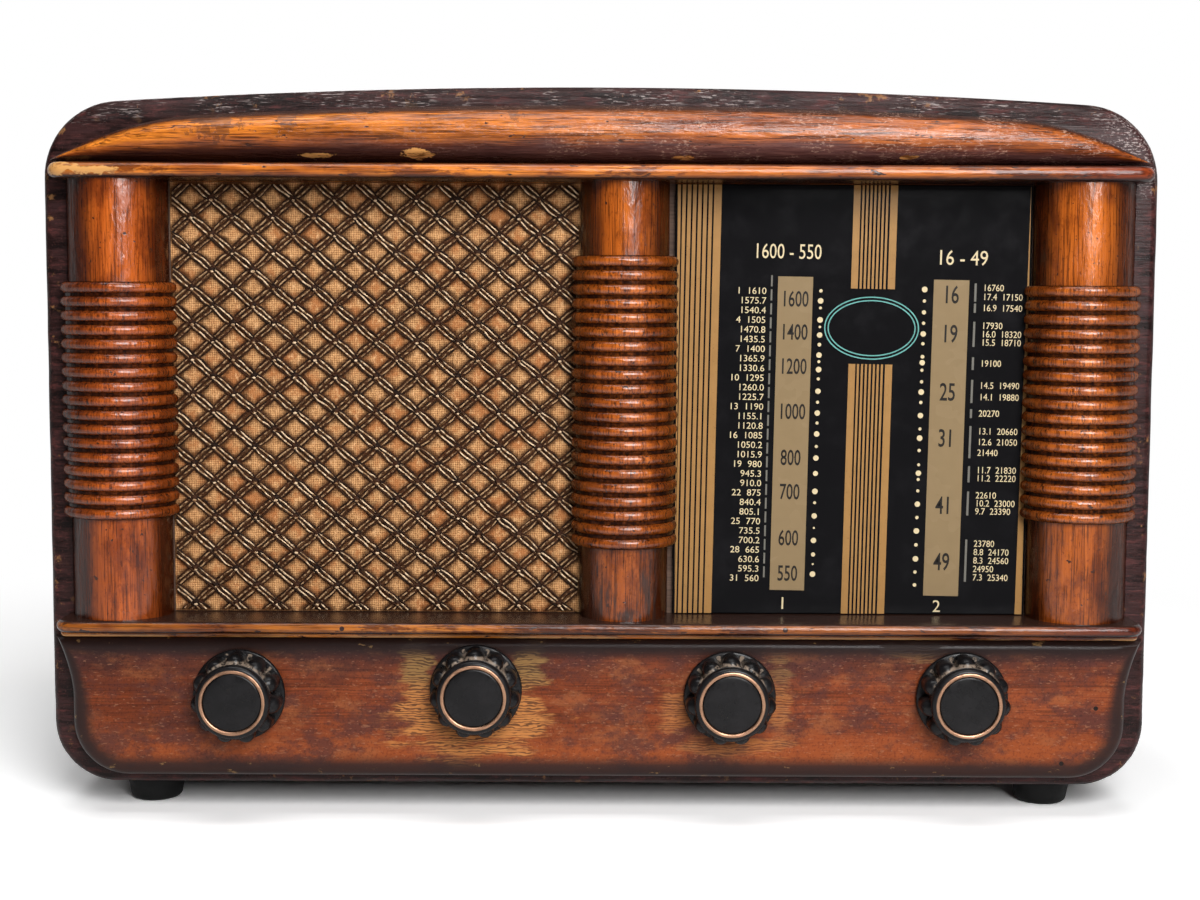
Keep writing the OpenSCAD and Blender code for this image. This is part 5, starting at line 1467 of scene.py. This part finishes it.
class RADIO_OT_feet(PieceOperator):
    """Rubber feet: tapered, with a round base edge and a bore for the screw"""

    bl_idname = "radio.feet"
    bl_label = "Rubber feet"

    def make(self, scene):
        low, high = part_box("rubber_feet")
        r, h, bore, head = scene.radio_knobs.foot_r, high.z - low.z, 1.55 * MM, 5 * MM
        soft, deep = 3 * MM, 6 * MM
        profile = [(bore, h), (r, h), (r - 0.2 * MM, h - MM), (r - 2 * MM, soft)]
        profile += [(r - 2 * MM - soft + soft * math.cos(a), soft - soft * math.sin(a))
                    for a in np.radians(np.linspace(15, 90, 6))]
        profile += [(head + 0.4 * MM, 0), (head, 0.4 * MM), (head, deep), (bore, deep)]
        a, rows, faces = turns(48), [], []
        for x in (low.x + r, high.x - r):
            for y in (low.y + r, high.y - r):
                start = len(rows) * len(a)
                faces += grid(len(profile), len(a), close_rows=True, close_cols=True, start=start)
                rows += [np.column_stack([x + q * np.cos(a), y + q * np.sin(a), np.full(len(a), z)])
                         for q, z in profile]
        obj = mesh_object("feet_rubber", rows, faces, moulding("rubber", (0.004, 0.004, 0.004), rough=0.45))
        settle(obj, "cabinet", "rubber", "rubber_feet")


class RADIO_OT_inside(PieceOperator):
    """Finishes of the solids that keep their shape"""

    bl_idname = "radio.inside"
    bl_label = "Works and back"

    def make(self, scene):
        finishes = {
            plain_board("baffle board", (0.10, 0.055, 0.035)): ["front_baffle"],
            plain_board("back board", (0.30, 0.17, 0.085), 0, 900, 0.8, 0.15, 0.6): ["back_cover"],
            metal("brass", (0.70, 0.50, 0.22), 0.35, 0.5): [
                "cabinet_screws", "lamp_holders", "upper_pulley", "lower_pulley", "tuning_bush"],
            moulding("gland rubber", (0.012, 0.012, 0.012), rough=0.6): ["mains_gland"],
            pale_paint("reflector paint", (0.80, 0.77, 0.68)): ["dial_backplate"],
            metal("bright steel", (0.58, 0.57, 0.55), 0.3, 0.35): [
                "pointer_rails", "pulley_pins", "volume_shaft", "tone_shaft", "tuning_shaft", "wave_shaft"],
            pale_paint("pointer red", (0.62, 0.055, 0.03), 0.35): ["dial_pointer"],
            frosted_lamp("lamp glass"): ["dial_lamps"],
            plain_board("drum card", (0.50, 0.40, 0.24), 0, 700): ["dial_drum"],
            cord_yarn("dial cord", (0.30, 0.22, 0.13), (0.16, 0.11, 0.06)): ["drive_cord", "pointer_cord"],
            metal("chassis plating", (0.50, 0.50, 0.47), 0.42, 0.6, 22): ["chassis", "gang_frame"],
            metal("core iron", (0.16, 0.15, 0.15), 0.5, 0.6): ["transformer_cores"],
            plain_board("coil paper", (0.42, 0.24, 0.09), 2, 600, 0.6): ["transformer_coils"],
            metal("can aluminium", (0.72, 0.72, 0.71), 0.38, 0.35, 40): [
                "if_cans", "filter_capacitor", "gang_stator", "gang_rotor"],
            moulding("brown moulding", (0.065, 0.026, 0.014), rough=0.3): ["valve_sockets", "socket_strip"],
            moulding("valve base moulding", (0.018, 0.014, 0.012), rough=0.25): ["valve_bases"],
            metal("control cans", (0.42, 0.41, 0.38), 0.4, 0.5): ["volume_control", "tone_control"],
            plain_board("switch wafers", (0.34, 0.19, 0.08), 0, 500, 0.5): ["wave_switch"],
            pale_paint("basket paint", (0.045, 0.045, 0.05), 0.45): ["speaker_basket"],
            plain_board("cone paper", (0.060, 0.050, 0.042), 2, 900, 0.9, 0.2): ["speaker_cone"],
            metal("magnet iron", (0.30, 0.29, 0.28), 0.45, 0.6): ["speaker_magnet"],
        }
        for node in ("rectifier_bulb", "output_bulb", "signal_bulbs"):
            finishes[bulb_glass(node + " glass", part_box(node)[1].z - 20 * MM)] = [node]
        for finish, nodes in finishes.items():
            for node in nodes:
                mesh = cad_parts[node].data
                mesh.materials.clear()
                mesh.materials.append(finish)


# Camera: its place, downward tilt and roll, and the lens that gives the photograph's field
CAMERA_PLACE = (0.0, FRONT - 0.8814, 0.2485)
CAMERA_TILT = 4.87
CAMERA_ROLL = 0.25
CAMERA_LENS = 56.35
SENSOR_WIDTH = 36

# Radius of the floor and of the backdrop that stands on it
FLOOR_RADIUS = 6
WALL_RADIUS = 4.5

# How white the floor's paint is to the camera, so that it shows white where no shadow falls
FLOOR_SEEN = 1.3
ROOM_LIGHT = 0.07

# Lamps: name, place, point that it faces, width, height and power
LAMPS = [
    ("key", (0.35, -1.4, 1.0), (0.0, -0.1, 0.2), 0.8, 0.6, 22),
    ("front", (0.45, -1.6, 0.56), (0.0, -0.1, 0.2), 0.5, 0.26, 9),
    ("top", (0.0, -0.3, 1.6), (0.0, -0.1, 0.2), 1.2, 0.6, 11),
    ("back", (-0.5, 1.8, 0.9), (0.0, 0.1, 0.2), 0.8, 0.6, 14),
]


def pale_studio(name, near, far, dim_y, white_y):
    """White paint that keeps the object's shadow near it and is plain white from a distance on.

    Gloss and glass see the white behind the object, and a dim room before it.
    """
    f = Finish(name)
    path = f.node("LightPath").outputs
    camera = path["Is Camera Ray"]
    mirrored = f.most(path["Is Glossy Ray"], path["Is Transmission Ray"])
    plain = f.mix(f.noise(30, 3), (0.52, 0.52, 0.52), (0.56, 0.56, 0.56))
    pale = f.mix(mirrored, plain, (0.9, 0.9, 0.9))
    paint = f.node("BsdfDiffuse", Color=f.mix(camera, pale, (FLOOR_SEEN, FLOOR_SEEN, FLOOR_SEEN)))
    mirror_white = f.between(f.axes()["Y"], dim_y, white_y, 0.08, 0.6)
    white = f.node("Emission", Color=(1, 1, 1), Strength=f.most(camera, mirror_white))
    away = f.node("VectorMath", {"operation": "LENGTH"}, Vector=f.place).outputs["Value"]
    both = f.node("MixShader", Fac=f.times(f.between(away, near, far), f.most(camera, mirrored)))
    for socket, shader in zip(list(both.inputs)[1:], (paint, white)):
        f.tree.links.new(shader.outputs[0], socket)
    return f.shown(both)


def aimed(obj, target):
    """Turns an object at a point, with its top up."""
    way = Vector(target) - Vector(obj.location)
    obj.rotation_euler = way.to_track_quat("-Z", "Y").to_euler()


class RADIO_OT_stage(PieceOperator):
    """Floor, lamps, background and camera"""

    bl_idname = "radio.stage"
    bl_label = "Stage"

    def make(self, scene):
        a = np.radians(np.arange(-30, 211, 5))
        ring = np.column_stack([WALL_RADIUS * np.cos(a), WALL_RADIUS * np.sin(a)])
        rows = [np.insert(ring, 2, z, axis=1) for z in (-0.01, 3.5)]
        paint = pale_studio("backdrop paint", 1.0, 2.0, 0.0, 3.0)
        wall = mesh_object("backdrop", rows, grid(2, len(a)), paint)
        a = turns(72)
        disc = np.column_stack([FLOOR_RADIUS * np.cos(a), FLOOR_RADIUS * np.sin(a), np.zeros(len(a))])
        paint = pale_studio("floor paint", 0.4, 0.8, -2.0, -0.8)
        floor = mesh_object("floor", [disc], [range(len(a))], paint)
        world = bpy.data.worlds.new("studio")
        scene.world = world
        world.use_nodes = True
        tree = world.node_tree
        sky = tree.nodes["Background"]
        sky.inputs["Color"].default_value = (1, 1, 1, 1)
        path = tree.nodes.new("ShaderNodeLightPath")
        seen = tree.nodes.new("ShaderNodeMath")
        seen.operation = "MAXIMUM"
        seen.inputs[1].default_value = ROOM_LIGHT
        tree.links.new(path.outputs["Is Camera Ray"], seen.inputs[0])
        tree.links.new(seen.outputs[0], sky.inputs["Strength"])
        for name, place, target, wide, tall, power in LAMPS:
            data = bpy.data.lights.new(name, "AREA")
            data.shape, data.size, data.size_y, data.energy = "RECTANGLE", wide, tall, power
            lamp = bpy.data.objects.new(name, data)
            lamp.location = place
            scene.collection.objects.link(lamp)
            aimed(lamp, target)
        lens = bpy.data.cameras.new("camera")
        lens.lens, lens.sensor_width = CAMERA_LENS, SENSOR_WIDTH
        camera = bpy.data.objects.new("camera", lens)
        tilt, roll = math.radians(90 - CAMERA_TILT), math.radians(CAMERA_ROLL)
        turn = Matrix.Rotation(tilt, 4, "X") @ Matrix.Rotation(roll, 4, "Z")
        camera.matrix_world = Matrix.Translation(CAMERA_PLACE) @ turn
        scene.collection.objects.link(camera)
        scene.camera = camera
        scene.view_settings.view_transform = "Standard"


OPERATORS = [
    RADIO_OT_shell, RADIO_OT_crown, RADIO_OT_bars, RADIO_OT_board, RADIO_OT_columns, RADIO_OT_cloth,
    RADIO_OT_glass, RADIO_OT_dial, RADIO_OT_knobs, RADIO_OT_rings, RADIO_OT_feet, RADIO_OT_inside,
    RADIO_OT_stage,
]


class RADIO_PT_pieces(bpy.types.Panel):
    """Buttons for the radio's pieces"""

    bl_label = "Radio"
    bl_idname = "RADIO_PT_pieces"
    bl_space_type = "VIEW_3D"
    bl_region_type = "UI"
    bl_category = "Radio"

    def draw(self, context):
        for name, group in GROUPS.items():
            box = self.layout.box()
            box.label(text=group.__doc__.rstrip("."))
            for key in group.__annotations__:
                box.prop(getattr(context.scene, name), key)
        for operator in OPERATORS:
            self.layout.operator(operator.bl_idname)


def register():
    for name, group in GROUPS.items():
        bpy.utils.register_class(group)
        setattr(bpy.types.Scene, name, bpy.props.PointerProperty(type=group))
    for operator in OPERATORS:
        bpy.utils.register_class(operator)
    bpy.utils.register_class(RADIO_PT_pieces)


def unregister():
    bpy.utils.unregister_class(RADIO_PT_pieces)
    for operator in reversed(OPERATORS):
        bpy.utils.unregister_class(operator)
    for name, group in GROUPS.items():
        delattr(bpy.types.Scene, name)
        bpy.utils.unregister_class(group)


def main():
    """Makes every piece in order."""
    register()
    for operator in OPERATORS:
        step = operator.bl_idname.split(".")[1]
        getattr(bpy.ops.radio, step)()


if __name__ == "__main__":
    main()
